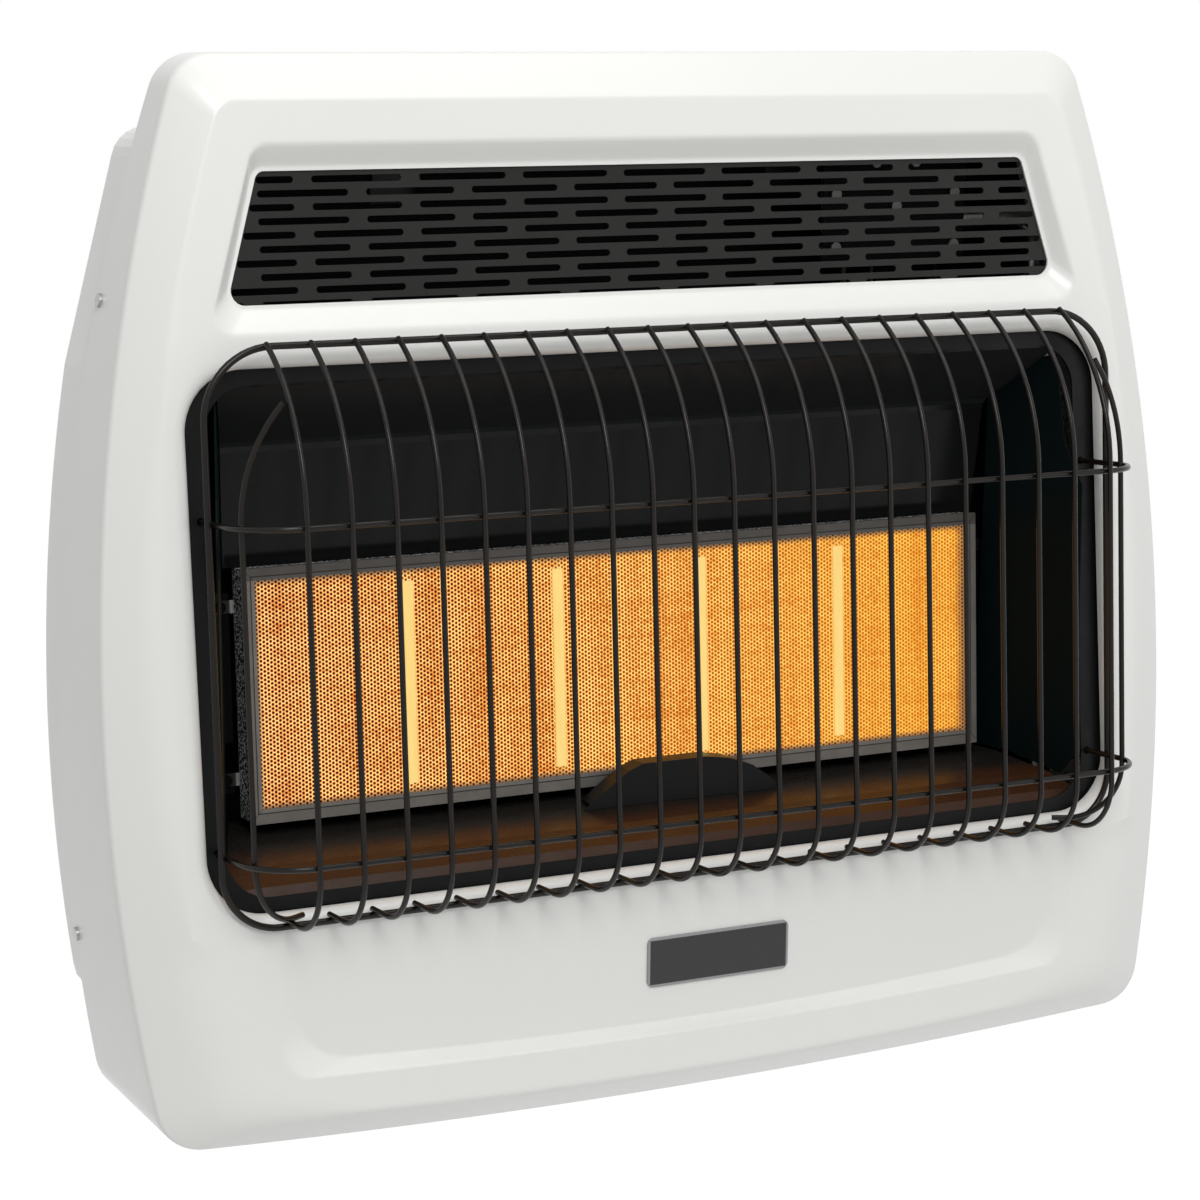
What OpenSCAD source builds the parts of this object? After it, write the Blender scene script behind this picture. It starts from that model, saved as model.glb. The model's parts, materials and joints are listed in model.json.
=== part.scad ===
// Vent-free infrared gas wall heater with a wire guard, as separate named pieces.
// Frame: X right, Y = 0 at the wall with the front towards -Y, Z up,
// Z = 0 at the wall bracket's screw line. Millimetres.

/* [Cover] */
// Height of the cover's top edge over the bracket screw line
cover_top = 89.3; // [80:0.1:100]
// Height of the cover's bottom edge at mid width
cover_bottom = -516; // [-530:1:-500]
// Greatest half width of the cover
cover_half_w = 346.2; // [330:0.1:360]
// Height at which the cover is widest
cover_wide_z = -275; // [-320:1:-230]
// Radius of the bowed sides
cover_side_r = 1141; // [900:1:1500]
// Radius of the bowed bottom edge
cover_bottom_r = 5600; // [3000:100:9000]
// Radius of the cover's corners
cover_corner_r = 26; // [10:1:40]
// Sheet thickness of the cover
cover_t = 1.2; // [0.8:0.1:2]
// Front panel distance from the wall at the screw line
panel_y0 = -105.2; // [-120:0.1:-90]
// Front panel slope, distance per height
panel_k = 0.0883; // [0.05:0.0001:0.12]
// Ridge distance from the wall at the screw line
ridge_y0 = -90.7; // [-100:0.1:-80]
// Ridge slope, distance per height
ridge_k = 0.0756; // [0.05:0.0001:0.1]
// Rear edge distance from the wall at the screw line
rear_y0 = -49.1; // [-60:0.1:-40]
// Rear edge slope, distance per height
rear_k = -0.0655; // [-0.1:0.0001:0]

/* [Firebox opening] */
// Distance from the cover's widest side to the opening
open_margin = 51.2; // [45:0.1:60]
// Top of the opening
open_top = -79; // [-100:1:-70]
// Bottom of the opening
open_bottom = -376.5; // [-390:0.5:-360]
// Corner radius of the opening
open_r = 34; // [10:1:45]
// Radius of the rolled lip
lip_r = 8; // [4:0.5:12]

/* [Outlet grille] */
// Slot length of the outlet grille
slot_len = 53; // [30:1:60]
// Slot height of the outlet grille
slot_h = 3.8; // [2:0.1:5]
// Slot pitch along a row
slot_pitch = 63.5; // [50:0.5:80]
// Row pitch of the slots
slot_row = 7.5; // [6:0.1:10]
// Shift of the slot pattern from mid width
slot_x = 2.8; // [0:0.1:5]
// Depth of the pocket the grille sits in
pocket_d = 9; // [5:0.5:12]

/* [Rear casing] */
// Top of the rear casing
case_top = 48; // [40:1:60]
// Bottom of the rear casing
case_bottom = -445; // [-460:1:-430]
// Depth of the rear casing
case_d = 70; // [60:1:80]
// Sheet thickness of casing and chassis parts
case_t = 1.2; // [0.8:0.1:2]
// Depth of the air gap between wall and back panel
back_gap = 8; // [5:0.5:12]
// Spacing of the wall bracket screws
wall_pitch = 406.4; // [300:0.1:500]
// Radius of the wall bracket screw holes
wall_hole_r = 3.2; // [2.5:0.1:4]
// Spacing of the lower wall screws
low_pitch = 508; // [400:0.1:560]
// Height of the lower wall screws
low_z = -420; // [-430:1:-400]

/* [Burner] */
// Distance from the opening's side to the burner frame
frame_margin = 50.5; // [46:0.1:55]
// Gap between neighbouring plaques
plaque_gap = 3; // [2:0.1:4]
// Height of one plaque
plaque_h = 135; // [125:1:140]
// Thickness of one plaque
plaque_t = 12.8; // [10:0.1:14]
// Height of the burner frame above and below the plaques
frame_lip = 6.15; // [4:0.05:8]
// Burner lean from the vertical in degrees
burner_lean = 2.76; // [0:0.01:5]

/* [Guard] */
// Number of upright guard wires
wire_n = 21; // [15:2:25]
// Radius of the upright wires
wire_r = 1.6; // [1.2:0.1:2]
// Radius of the cross wires
cross_r = 1.7; // [1.2:0.1:2]
// Radius of the perimeter wire
rim_r = 1.95; // [1.5:0.05:2.5]
// Distance from the opening's side to the perimeter wire
rim_in = 4.8; // [3:0.1:8]
// Reach of the perimeter wire above the opening
rim_over = 9.65; // [5:0.05:14]
// Reach of the perimeter wire below the opening
rim_under = 9.95; // [5:0.05:14]
// Standoff of the upright wires in front of the perimeter wire
guard_d = 54.7; // [40:0.1:70]
// Guard lean from the vertical in degrees
guard_lean = 3.3; // [2:0.1:5]

/* [Controls] */
// Distance of the igniter from the cover's widest side
igniter_in = 108.2; // [100:0.1:125]
// Distance of the valve from the igniter
valve_in = 60; // [55:1:75]
// Distance of the controls from the wall
control_y = -28; // [-35:1:-24]
// Knob diameter
knob_d = 36; // [28:1:40]
// Push travel of the control knob
knob_push = 4; // [3:0.5:5]
// Push travel of the igniter button
button_push = 5; // [3:0.5:6]

/* [Hidden] */
fit_gap = 0.3;      // clearance of pieces that move or pass through one another
touch = 0.05;       // clearance of welded or clamped round wires
wall_t = 1.6;       // wall bracket sheet
tube_r = 4.75;      // gas tubes
side_off = cover_side_r - cover_half_w;
open_half_w = cover_half_w - open_margin;
frame_half_w = open_half_w - frame_margin;
plaque_n = 5;
plaque_pitch = 2 * (frame_half_w - 4.5) / plaque_n;
plaque_w = plaque_pitch - plaque_gap;
frame_h = plaque_h + 2 * frame_lip;
fh = frame_h / 2;
rim_half_w = open_half_w - rim_in;
rim_top = (open_top - open_bottom) / 2 + rim_over;
rim_bottom = (open_bottom - open_top) / 2 - rim_under;
wire_pitch = 2 * (rim_half_w - 35.7) / (wire_n - 1);
igniter_x = cover_half_w - igniter_in;
valve_x = igniter_x - valve_in;
panel_a = atan(panel_k);
burner_y = -58.5;
burner_z = -271.5;
guard_y = -133.1;
guard_z = (open_top + open_bottom) / 2 + 3.75;
mixer_v = -38;
mixer_n = -30;
gas_x = cover_half_w - 46.2;
supply_y = -48;
tube_z = -14;
reg_x = cover_half_w - 121.2;
reg_z = case_bottom + 30;
floor_y0 = -148.86; // lower pocket floor
floor_k = -0.02375;
$fn = 48;

function unit(v) = v / norm(v);
function perp(v) = [-v[1], v[0]];
function panel_y(z) = panel_y0 + panel_k * z;
function cover_hw(z) = sqrt(cover_side_r * cover_side_r - pow(z - cover_wide_z, 2)) - side_off;
function mirror_x(p) = [for (i = [len(p) - 1 : -1 : 0]) [-p[i][0], p[i][1]]];
// a closed outline moved inwards (counterclockwise points)
function inset(p, d) = [for (i = [0 : len(p) - 1])
    let (n = len(p), a = p[(i + n - 1) % n], b = p[i], c = p[(i + 1) % n],
         n1 = perp(unit(b - a)), n2 = perp(unit(c - b)), m = unit(n1 + n2))
    b + m * d / (m * n1)];
// a bent strip of sheet along an open line of points
function side_of(p, d) = [for (i = [0 : len(p) - 1])
    let (n1 = i > 0 ? perp(unit(p[i] - p[i - 1])) : perp(unit(p[1] - p[0])),
         n2 = i < len(p) - 1 ? perp(unit(p[i + 1] - p[i])) : n1, m = unit(n1 + n2))
    p[i] + m * d / (m * n1)];
function strip(p, t) = concat(p, [for (i = [len(p) - 1 : -1 : 0]) side_of(p, t)[i]]);

// thin slab on the inclined plane Y = y0 + k Z, outline in X and Z
module slab(y0, k) multmatrix([[1, 0, 0, 0], [0, k, -1, y0], [0, 1, 0, 0], [0, 0, 0, 1]])
    linear_extrude(0.1) children();
// X-Z outline extruded from ya (near the wall) to yb (further out)
module along_y(ya, yb) translate([0, ya, 0]) rotate([90, 0, 0]) linear_extrude(ya - yb) children();
// Y-Z outline extruded from xa to xb
module along_x(xa, xb) translate([xa, 0, 0]) rotate([90, 0, 90]) linear_extrude(xb - xa) children();
// frames leaning back from the vertical: x right, y up the plane, z outwards
module on_lean(y, z, a) translate([0, y, z]) rotate([90 - a, 0, 0]) children();
module on_panel() on_lean(panel_y0, 0, panel_a) children();
module on_burner() on_lean(burner_y, burner_z, burner_lean) children();
module on_guard() on_lean(guard_y, guard_z, guard_lean) children();
module both() for (s = [0, 1]) mirror([s, 0, 0]) children();
module box(a, b) translate(a) cube(b - a);
// straight wire from p to q, bend about c from angle a0 to a1 in the plane of e1 and e2
module rod(p, q, r, ref = [0, 0, 0]) {
    z = unit(q - p);
    x = unit(cross(norm(ref) > 0 ? ref : abs(z[2]) > 0.9 ? [0, 1, 0] : [0, 0, 1], z));
    y = cross(z, x);
    multmatrix([[x[0], y[0], z[0], p[0]], [x[1], y[1], z[1], p[1]], [x[2], y[2], z[2], p[2]], [0, 0, 0, 1]])
        cylinder(r = r, h = norm(q - p));
}
module bend(c, e1, e2, br, a0, a1, r) {
    e3 = cross(e1, e2);
    multmatrix([[e1[0], e2[0], e3[0], c[0]], [e1[1], e2[1], e3[1], c[1]],
                [e1[2], e2[2], e3[2], c[2]], [0, 0, 0, 1]])
        rotate([0, 0, a0]) rotate_extrude(angle = a1 - a0) translate([br, 0]) circle(r);
}
// bent tube or lead through points, with bends of radius br
function turn(p, i) = i < 1 || i > len(p) - 2 ? 0 :
    acos(unit(p[i] - p[i - 1]) * unit(p[i + 1] - p[i]));
module path(p, r, br) {
    for (i = [0 : len(p) - 2]) {
        d = unit(p[i + 1] - p[i]);
        rod(p[i] + d * br * tan(turn(p, i) / 2), p[i + 1] - d * br * tan(turn(p, i + 1) / 2), r);
    }
    for (i = [1 : len(p) - 2]) {
        d = unit(p[i] - p[i - 1]);
        f = unit(p[i + 1] - p[i]);
        n = unit(f - d * (f * d));
        bend(p[i] - d * br * tan(turn(p, i) / 2) + n * br, -n, d, br, 0, turn(p, i), r);
    }
}
module rrect(hw, y0, y1, r) {
    translate([-hw + r, y0]) square([2 * hw - 2 * r, y1 - y0]);
    translate([-hw, y0 + r]) square([2 * hw, y1 - y0 - 2 * r]);
    for (x = [-hw + r, hw - r], y = [y0 + r, y1 - r]) translate([x, y]) circle(r);
}

// ---- cover -------------------------------------------------------------
// bowed outline with tangent corners: half width, height where it is widest, side radius,
// top, bottom, bottom radius, top and bottom corner radii, inset
function arc(c, r, a0, a1, n) = [for (i = [0 : n - 1]) let (a = a0 + (a1 - a0) * i / n)
    c + r * [cos(a), sin(a)]];
function low_z_of(x, bot, br, rb) = bot + br - sqrt(pow(br - rb, 2) - x * x);
function low_x_of(z, hw, wz, sr, rb) = hw - sr + sqrt(pow(sr - rb, 2) - pow(z - wz, 2));
function outline(hw, wz, sr, top, bot, br, rt, rb, g) = let (
    ct = [low_x_of(top - rt, hw, wz, sr, rt), top - rt],
    x1 = low_x_of(bot + rb, hw, wz, sr, rb),
    x2 = low_x_of(low_z_of(x1, bot, br, rb), hw, wz, sr, rb),
    cb = [x2, low_z_of(x2, bot, br, rb)],
    cs = [hw - sr, wz], cd = [0, bot + br],
    at = atan2(ct[1] - cs[1], ct[0] - cs[0]), ab = atan2(cb[1] - cs[1], cb[0] - cs[0]),
    ad = atan2(cb[1] - cd[1], cb[0] - cd[0]),
    right = concat(arc(cd, br - g, -90, ad, 7), arc(cb, rb - g, ad, ab, 8),
        arc(cs, sr - g, ab, at, 24), arc(ct, rt - g, at, 90, 8), [[ct[0], top - g]]))
    concat(right, [for (i = [len(right) - 1 : -1 : 1]) [-right[i][0], right[i][1]]]);
// solid through outlines (lists of X and Z) that lie on inclined planes [y0, k]
module loft(rings, planes) {
    n = len(rings[0]);
    m = len(rings);
    polyhedron(
        points = [for (j = [0 : m - 1], q = rings[j]) [q[0], planes[j][0] + planes[j][1] * q[1], q[1]]],
        faces = concat([[for (i = [0 : n - 1]) i], [for (i = [n - 1 : -1 : 0]) (m - 1) * n + i]],
            [for (j = [0 : m - 2], i = [0 : n - 1], t = [0, 1]) let (k = (i + 1) % n)
                t == 0 ? [j * n + i, (j + 1) * n + k, j * n + k]
                       : [j * n + i, (j + 1) * n + i, (j + 1) * n + k]]));
}
function cover_pts(g) = outline(cover_half_w, cover_wide_z, cover_side_r, cover_top, cover_bottom,
    cover_bottom_r, cover_corner_r, cover_corner_r + 2, g);
function panel_pts(g) = outline(cover_half_w - 26.7, cover_wide_z + 35, 930, cover_top - 25.3,
    cover_bottom + 17, 3700, 14, 24, g);
module cover_body(g, rear) loft(
    [cover_pts(g), cover_pts(g), cover_pts(g + 0.5), cover_pts(g + 1.5), panel_pts(0.28 * g)],
    [[rear_y0 + rear, rear_k], [ridge_y0 + 1.6 + 0.57 * g, ridge_k], [ridge_y0 + 0.2 + 0.57 * g, ridge_k],
     [ridge_y0 - 0.6 + 0.57 * g, ridge_k], [panel_y0 + g, panel_k]]);
// upper pocket: outline at the panel, grown by g
pocket_z = [open_top + 18.8, cover_top - 48.5];
function pocket_hw(z) = open_half_w - 43 + 0.3006 * (pocket_z[1] - 3.8 - z);
module pocket2d(g) offset(delta = g) offset(r = 11) offset(delta = -11)
    polygon([for (i = [0, 1], s = i == 0 ? [-1, 1] : [1, -1]) [s * pocket_hw(pocket_z[i]), pocket_z[i]]]);
low_hw = open_half_w - 50;
function mirrored(p) = concat(p, mirror_x(p));
module low_outer2d(g) offset(delta = g) polygon(concat([for (i = [-5 : 5])
    [low_hw * i / 5, cover_bottom + 40.6 + 6.4 * pow(i / 5, 2)]],
    mirrored([[low_hw + 7.5, cover_bottom + 50.5], [low_hw + 11, cover_bottom + 55],
        [low_hw + 20.5, cover_bottom + 96], [low_hw + 23, open_bottom - 13.5]])));
module low_floor2d(g) offset(delta = g) polygon(concat([for (i = [-5 : 5])
    [(low_hw - 24) * i / 5, cover_bottom + 45.4 + 7.6 * pow(i / 5, 2)]],
    mirrored([[low_hw - 12, cover_bottom + 56], [low_hw - 2, cover_bottom + 63],
        [low_hw + 5, cover_bottom + 74], [low_hw + 17, open_bottom - 13.5]])));
module opening2d(g) rrect(open_half_w + g, open_bottom / cos(panel_a) - g,
                          open_top / cos(panel_a) + g, open_r + g);
grille_z = [open_top + 34, cover_top - 62.6];
function grille_hw(z) = open_half_w - 49 + 0.289 * (grille_z[1] - z);
module grille_opening2d(g) polygon([for (i = [0, 1], s = i == 0 ? [-1, 1] : [1, -1])
    [s * (grille_hw(grille_z[i]) + g), grille_z[i] + (2 * i - 1) * g]]);
module window2d(g) offset(delta = g) offset(r = 7) offset(delta = -7) grille_opening2d(0);
// one screw at the cover's rear edge: x and z of the cover side, depth y
cover_fix = [[-44, -53], [-405, -29]];
module at_side(z, y) translate([cover_hw(z), y, z])
    rotate([0, 90 - atan2(z - cover_wide_z, cover_hw(z) + side_off), 0]) children();

module front_cover() color("white") {
    difference() {
        union() {
            difference() {
                cover_body(0, 0);
                cover_body(cover_t, 2);
            }
            hull() {
                slab(panel_y0 + 0.6, panel_k) pocket2d(1.3);
                slab(panel_y0 + pocket_d + cover_t, panel_k) window2d(3.5);
            }
            hull() {
                slab(panel_y0 + 0.6, panel_k) low_outer2d(1.3);
                slab(floor_y0 + cover_t, floor_k) low_floor2d(1);
            }
        }
        hull() {
            slab(panel_y0 - 1, panel_k) pocket2d(0.7);
            slab(panel_y0 + pocket_d, panel_k) window2d(2);
        }
        hull() {
            slab(panel_y0 - 1, panel_k) low_outer2d(0.4);
            slab(floor_y0, floor_k) low_floor2d(0);
        }
        on_panel() translate([0, 0, -20]) linear_extrude(30) window2d(0);
        on_panel() translate([0, 0, -20]) linear_extrude(30) opening2d(lip_r);
        for (f = cover_fix) both() at_side(f[0], f[1]) {
            translate([0, 0, -8]) cylinder(r = 2.5, h = 16);
            translate([-2.5, 0, -8]) cube([5, 20, 16]);
        }
        box([reg_x - 20, -72, -530], [reg_x + 20, 0, -490]);
    }
    // rolled lip round the firebox opening
    on_panel() lip();
}
// profile: x towards the sheet, wall at x = 0, its flange let into the sheet
module lip_profile() translate([0, -0.1]) {
    difference() {
        translate([lip_r, -lip_r]) circle(lip_r);
        translate([lip_r, -lip_r]) circle(lip_r - 1);
        translate([lip_r, -3 * lip_r]) square([2 * lip_r, 4 * lip_r]);
        translate([-lip_r, -4 * lip_r]) square([4 * lip_r, 3 * lip_r]);
    }
    translate([lip_r - 0.5, -0.95]) square([1.5, 0.9]);
    translate([0.05, -lip_r - 1.5]) square([0.9, 2]);
}
module lip_edge(len) rotate([90, 0, 0]) translate([0, 0, -len]) linear_extrude(len) lip_profile();
module lip_corner() rotate_extrude(angle = 90) translate([open_r, 0]) lip_profile();
module lip() {
    y1 = open_top / cos(panel_a);
    y0 = open_bottom / cos(panel_a);
    w = open_half_w;
    translate([w, y0 + open_r, 0]) lip_edge(y1 - y0 - 2 * open_r);
    translate([-w, y1 - open_r, 0]) rotate([0, 0, 180]) lip_edge(y1 - y0 - 2 * open_r);
    translate([w - open_r, y1, 0]) rotate([0, 0, 90]) lip_edge(2 * w - 2 * open_r);
    translate([-w + open_r, y0, 0]) rotate([0, 0, -90]) lip_edge(2 * w - 2 * open_r);
    translate([w - open_r, y1 - open_r, 0]) lip_corner();
    translate([-w + open_r, y1 - open_r, 0]) rotate([0, 0, 90]) lip_corner();
    translate([-w + open_r, y0 + open_r, 0]) rotate([0, 0, 180]) lip_corner();
    translate([w - open_r, y0 + open_r, 0]) rotate([0, 0, 270]) lip_corner();
}
module slot2d(xa, xb) {
    r = slot_h / 2;
    translate([xa + r, -r]) square([xb - xa - 2 * r, slot_h]);
    translate([xa + r, 0]) circle(r, $fn = 24);
    translate([xb - r, 0]) circle(r, $fn = 24);
}
module outlet_grille() color("dimgray") on_panel()
    translate([0, 0, -pocket_d - cover_t - 1.1]) linear_extrude(1) difference() {
        grille_opening2d(5.7);
        for (k = [0 : 9]) translate([slot_x, grille_z[1] - 4.6 - slot_row * k]) {
            lim = grille_hw(grille_z[1] - 4.6 - slot_row * k) - 1;
            off = k % 2 == 0 ? 0 : slot_pitch / 2;
            for (i = [-5 : 5]) {
                xa = max(i * slot_pitch + off - slot_len / 2, -lim - slot_x);
                xb = min(i * slot_pitch + off + slot_len / 2, lim - slot_x);
                if (xb - xa > 9) slot2d(xa, xb);
            }
        }
    }
module cover_screws() color("silver") both() for (i = [0, 1]) {
    z = cover_fix[i][0];
    gap = i == 0 ? 4.6 : 2.2;
    at_side(z, cover_fix[i][1]) {
        cylinder(r = 4, h = 1.8);
        translate([0, 0, -gap - 5]) cylinder(r = 2, h = gap + 5.5);
        translate([0, 0, -gap + 0.45]) cylinder(r = 3.4, h = gap - cover_t - 0.75);
    }
}

// ---- rear casing -------------------------------------------------------
case_knee = -83;
case_side = concat([[cover_half_w - 26.4, case_bottom], [cover_half_w - 21.9, case_bottom + 0.6],
    [cover_half_w - 17.6, case_bottom + 3], [cover_half_w - 14.6, case_bottom + 7]],
    [for (z = [case_bottom + 14 : 17 : case_knee]) [cover_hw(z) - 2.2, z]],
    [[cover_hw(case_knee) - 2.2, case_knee], [cover_half_w - 48.9, case_top - 15.5],
     [cover_half_w - 50.7, case_top - 10.5], [cover_half_w - 53.8, case_top - 6.2],
     [cover_half_w - 57.8, case_top - 2.8], [cover_half_w - 62.2, case_top - 0.7],
     [cover_half_w - 66.7, case_top]]);
case_pts = mirrored(case_side);
case_open = concat([[cover_half_w - 46.2, case_bottom + 22]],
    [for (z = [-400 : 53 : -82]) [cover_hw(z) - 26.2, z]],
    [[cover_half_w - 70.2, 8], [cover_half_w - 84.2, case_top - 22]]);
// sides, top and front flange; spot welded round the back panel, as the bottom sheet is
bottom_hw = cover_half_w - 28.2; // half width of the bottom sheet
module casing_shell() difference() {
    along_y(0, -case_d) polygon(case_pts);
    along_y(1, -case_d + case_t) polygon(inset(case_pts, case_t));
    along_y(1, -case_d - 1) polygon(mirrored(case_open));
}
module rear_casing() color("gainsboro") difference() {
    casing_shell();
    box([-bottom_hw, -case_d - 1, case_bottom - 1], [bottom_hw, 1, case_bottom + 22.05]);
    // warm air slots in the top, stem and igniter holes
    for (x = [86.2 - cover_half_w : 40 : valve_x - 78], y = [-22, -34, -46])
        box([x, y - 2.5, case_top - 3], [x + 28, y + 2.5, case_top + 1]);
    translate([valve_x, control_y, case_top - 8]) cylinder(r = 6, h = 20);
    translate([igniter_x, control_y, case_top - 8]) cylinder(r = 8, h = 20);
    // holes for the cover screws and the surround screws
    for (f = cover_fix) both() at_side(f[0], f[1]) translate([0, 0, -16]) cylinder(r = 2.3, h = 20);
    both() for (z = sur_fix) translate([sur_hw + 10, -case_d + 4, z])
        rotate([90, 0, 0]) cylinder(r = 2.3, h = 8);
}
module casing_bottom() color("gainsboro") difference() {
    intersection() {
        casing_shell();
        box([touch - bottom_hw, -case_d - 1, case_bottom - 1], [bottom_hw - touch, 1, case_bottom + 22]);
    }
    // air slots and the way for the gas inlet
    for (x = [86.2 - cover_half_w : 40 : reg_x - 45], y = [-24, -38, -52])
        box([x, y - 3, case_bottom - 1], [x + 28, y + 3, case_bottom + 3]);
    translate([reg_x, supply_y, case_bottom - 5]) cylinder(r = 15, h = 10);
}
module back_panel() color("lightgray") difference() {
    union() {
        along_y(-back_gap, -back_gap - case_t) polygon(inset(case_pts, case_t + touch));
        both() translate([low_pitch / 2, 0, low_z])
            rotate([90, 0, 0]) cylinder(r = 9, h = back_gap + case_t);
    }
    // lower wall screw cups
    both() translate([low_pitch / 2, 0, low_z]) rotate([90, 0, 0]) {
        translate([0, 0, case_t]) cylinder(r = 7.8, h = 12);
        translate([0, 0, -1]) cylinder(r = wall_hole_r, h = 6);
    }
    // slots that hang on the bracket's hooks, holes for the burner brackets' screws
    both() box([130 - 15.6, -back_gap - 3, 2], [130 + 15.6, -back_gap + 1, 15.6]);
    both() for (z = [-220, -320]) translate([frame_half_w + 22.5, 0, z])
        rotate([90, 0, 0]) cylinder(r = 2.3, h = 14);
}
module wall_bracket() color("silver") {
    difference() {
        box([-220, -wall_t, -22], [220, 0, 22]);
        both() translate([wall_pitch / 2, 1, 0]) rotate([90, 0, 0]) cylinder(r = wall_hole_r, h = 5);
        for (x = [-60, 0, 60]) translate([x, 1, -12]) rotate([90, 0, 0]) cylinder(r = wall_hole_r, h = 5);
    }
    both() {
        box([115, -11.1, 14], [145, -wall_t + 0.1, 15.6]);
        box([115, -11.1, 14], [145, -9.5, 29]);
    }
}

// ---- firebox -----------------------------------------------------------
sur_n = -12;
sur_t = 1.2;
sur_hw = open_half_w + 16;
sur_fix = [open_top - 61, open_bottom + 46.5];
function sur_back(z) = panel_y(z) + (sur_t - sur_n) / cos(panel_a);
module firebox_surround() color("black") {
    on_panel() difference() {
        translate([0, 0, sur_n - sur_t]) linear_extrude(sur_t) difference() {
            rrect(sur_hw, open_bottom / cos(panel_a) - 15, open_top / cos(panel_a) + 13.3, 16);
            rrect(open_half_w - 13, open_bottom / cos(panel_a) + 8, open_top / cos(panel_a) - 8.7, 26);
        }
        // holes the guard hooks through
        for (v = cross_v) both() translate([cross_u, guard_hole_v(v), sur_n - 5]) cylinder(r = 2.3, h = 10);
    }
    both() {
        along_x(sur_hw - sur_t, sur_hw) polygon([for (y = [0, 1], z = y == 0 ? [-360, -110] : [-110, -360])
            [y == 0 ? -case_d : sur_back(z) + 0.05, z]]);
        difference() {
            box([sur_hw - sur_t, -case_d - sur_t, -360], [sur_hw + 18, -case_d, -110]);
            for (z = sur_fix) translate([sur_hw + 10, -case_d + 1, z])
                rotate([90, 0, 0]) cylinder(r = 2.3, h = 5);
        }
    }
}
module surround_screws() color("silver") both() for (z = sur_fix)
    translate([sur_hw + 10, -case_d - sur_t, z]) rotate([90, 0, 0]) {
        cylinder(r = 4, h = 2.2);
        translate([0, 0, -9]) cylinder(r = 2, h = 9.5);
    }
// plan outline of the firebox funnel: half width at a depth
shield_a = [frame_half_w + 9.1, -44.2];
shield_b = [open_half_w - 14, -118];
function funnel_hw(y) = shield_a[0] + (shield_a[1] - y) * (shield_b[0] - shield_a[0])
    / (shield_a[1] - shield_b[1]);
module in_funnel(g) translate([0, 0, -420]) linear_extrude(400)
    polygon([[-funnel_hw(-20) + g, -20], [-funnel_hw(-140) + g, -140],
             [funnel_hw(-140) - g, -140], [funnel_hw(-20) - g, -20]]);
upper_z = burner_z + (fh - 1.1) * cos(burner_lean) - 0.47; // seated on the gasket
upper_crease = -130;
upper_line = [[-46 - 8 * (upper_z - upper_crease) / 77, upper_z], [-46, upper_crease - 3],
    [-46.9, upper_crease + 0.6], [-49.2, upper_crease + 3.4], [-98.4, -90.5], [-97.2, -73]];
module upper_shield() color("black") intersection() {
    along_x(-gas_x, gas_x) polygon(strip(upper_line, -1));
    in_funnel(0.7);
}
lower_line = [[-30, burner_z - fh - 4.85], [-62, burner_z - fh - 6.85], [-100, -359], [-118, -366],
    [-124.4, -373], [-126.2, -390]];
module lower_reflector() color("saddlebrown") difference() {
    intersection() {
        along_x(-gas_x, gas_x) polygon(strip(lower_line, 1));
        in_funnel(0.7);
    }
    for (i = [0, 1, 2]) translate([pilot_xs[i], -70, -380]) cylinder(r = 3.2, h = 40);
}
module side_plate() {
    d = unit(shield_b - shield_a);
    l = norm(shield_b - shield_a);
    multmatrix([[d[0], 0, -d[1], shield_a[0]], [d[1], 0, d[0], shield_a[1]], [0, 1, 0, 0], [0, 0, 0, 1]])
        linear_extrude(1) polygon([[0, -349], [29.5, -351], [67.5, -359], [l, -345], [l, -175],
                                   [l - 14, -150], [l - 22, -96], [20, -101], [6, -112]]);
}
module side_shield_right() color("black") side_plate();
module side_shield_left() color("black") mirror([1, 0, 0]) side_plate();

// ---- burner ------------------------------------------------------------
gas_z1 = -14.4; // depth of the plaques' rear face behind the burner frame
seat_n = -21;   // depth of the gasket's rear face
body_n = -40;   // depth of the burner body
ear_v = fh - 23.6;         // ears with the screws that carry the burner
ear_x = frame_half_w + 7.5;
module plate(hw, v0, v1, n0, n1) box([-hw, v0, n0], [hw, v1, n1]);
module burner_frame() color("dimgray") on_burner() difference() {
    union() {
        plate(frame_half_w, -fh, fh, -1.2, 0);
        difference() {
            plate(frame_half_w, -fh, fh, -3.2, -0.5);
            plate(frame_half_w - 1, -fh + 1, fh - 1, -4, 0);
        }
    }
    plate(frame_half_w - 6.6, 8.55 - fh, fh - 7.15, -5, 1);
}
module burner_gasket() color("darkslategray") on_burner() difference() {
    plate(frame_half_w - 1.1, 1.1 - fh, fh - 1.1, seat_n, -1.2);
    plate(plaque_pitch * 2 + plaque_w / 2 + 0.1, -plaque_h / 2, plaque_h / 2 + 0.01, gas_z1, 1);
    plate(frame_half_w - 13.5, 12.65 - fh, fh - 12.65, -30, 1);
}
module burner_body() color("silver") on_burner() difference() {
    union() {
        plate(frame_half_w - 1.1, 1.1 - fh, fh - 1.1, seat_n - 1.2, seat_n);
        plate(frame_half_w - 8.5, 7.65 - fh, fh - 7.65, body_n, seat_n - 0.5);
        both() for (s = [-1, 1]) translate([frame_half_w - 4.5, s * ear_v - 3.7, seat_n - 1.2])
            cube([22, 7.4, 1.2]);
    }
    plate(frame_half_w - 9.7, 8.85 - fh, fh - 8.85, body_n + 1.2, seat_n - 1.2);
    plate(frame_half_w - 13.5, 12.65 - fh, fh - 12.65, seat_n - 3, 1);
    translate([frame_half_w - 44.5, mixer_v, mixer_n]) rotate([0, 90, 0]) cylinder(r = 8.05, h = 60);
    both() for (v = [-ear_v, ear_v]) translate([ear_x, v, seat_n - 5]) cylinder(r = 2.2, h = 10);
}
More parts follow.
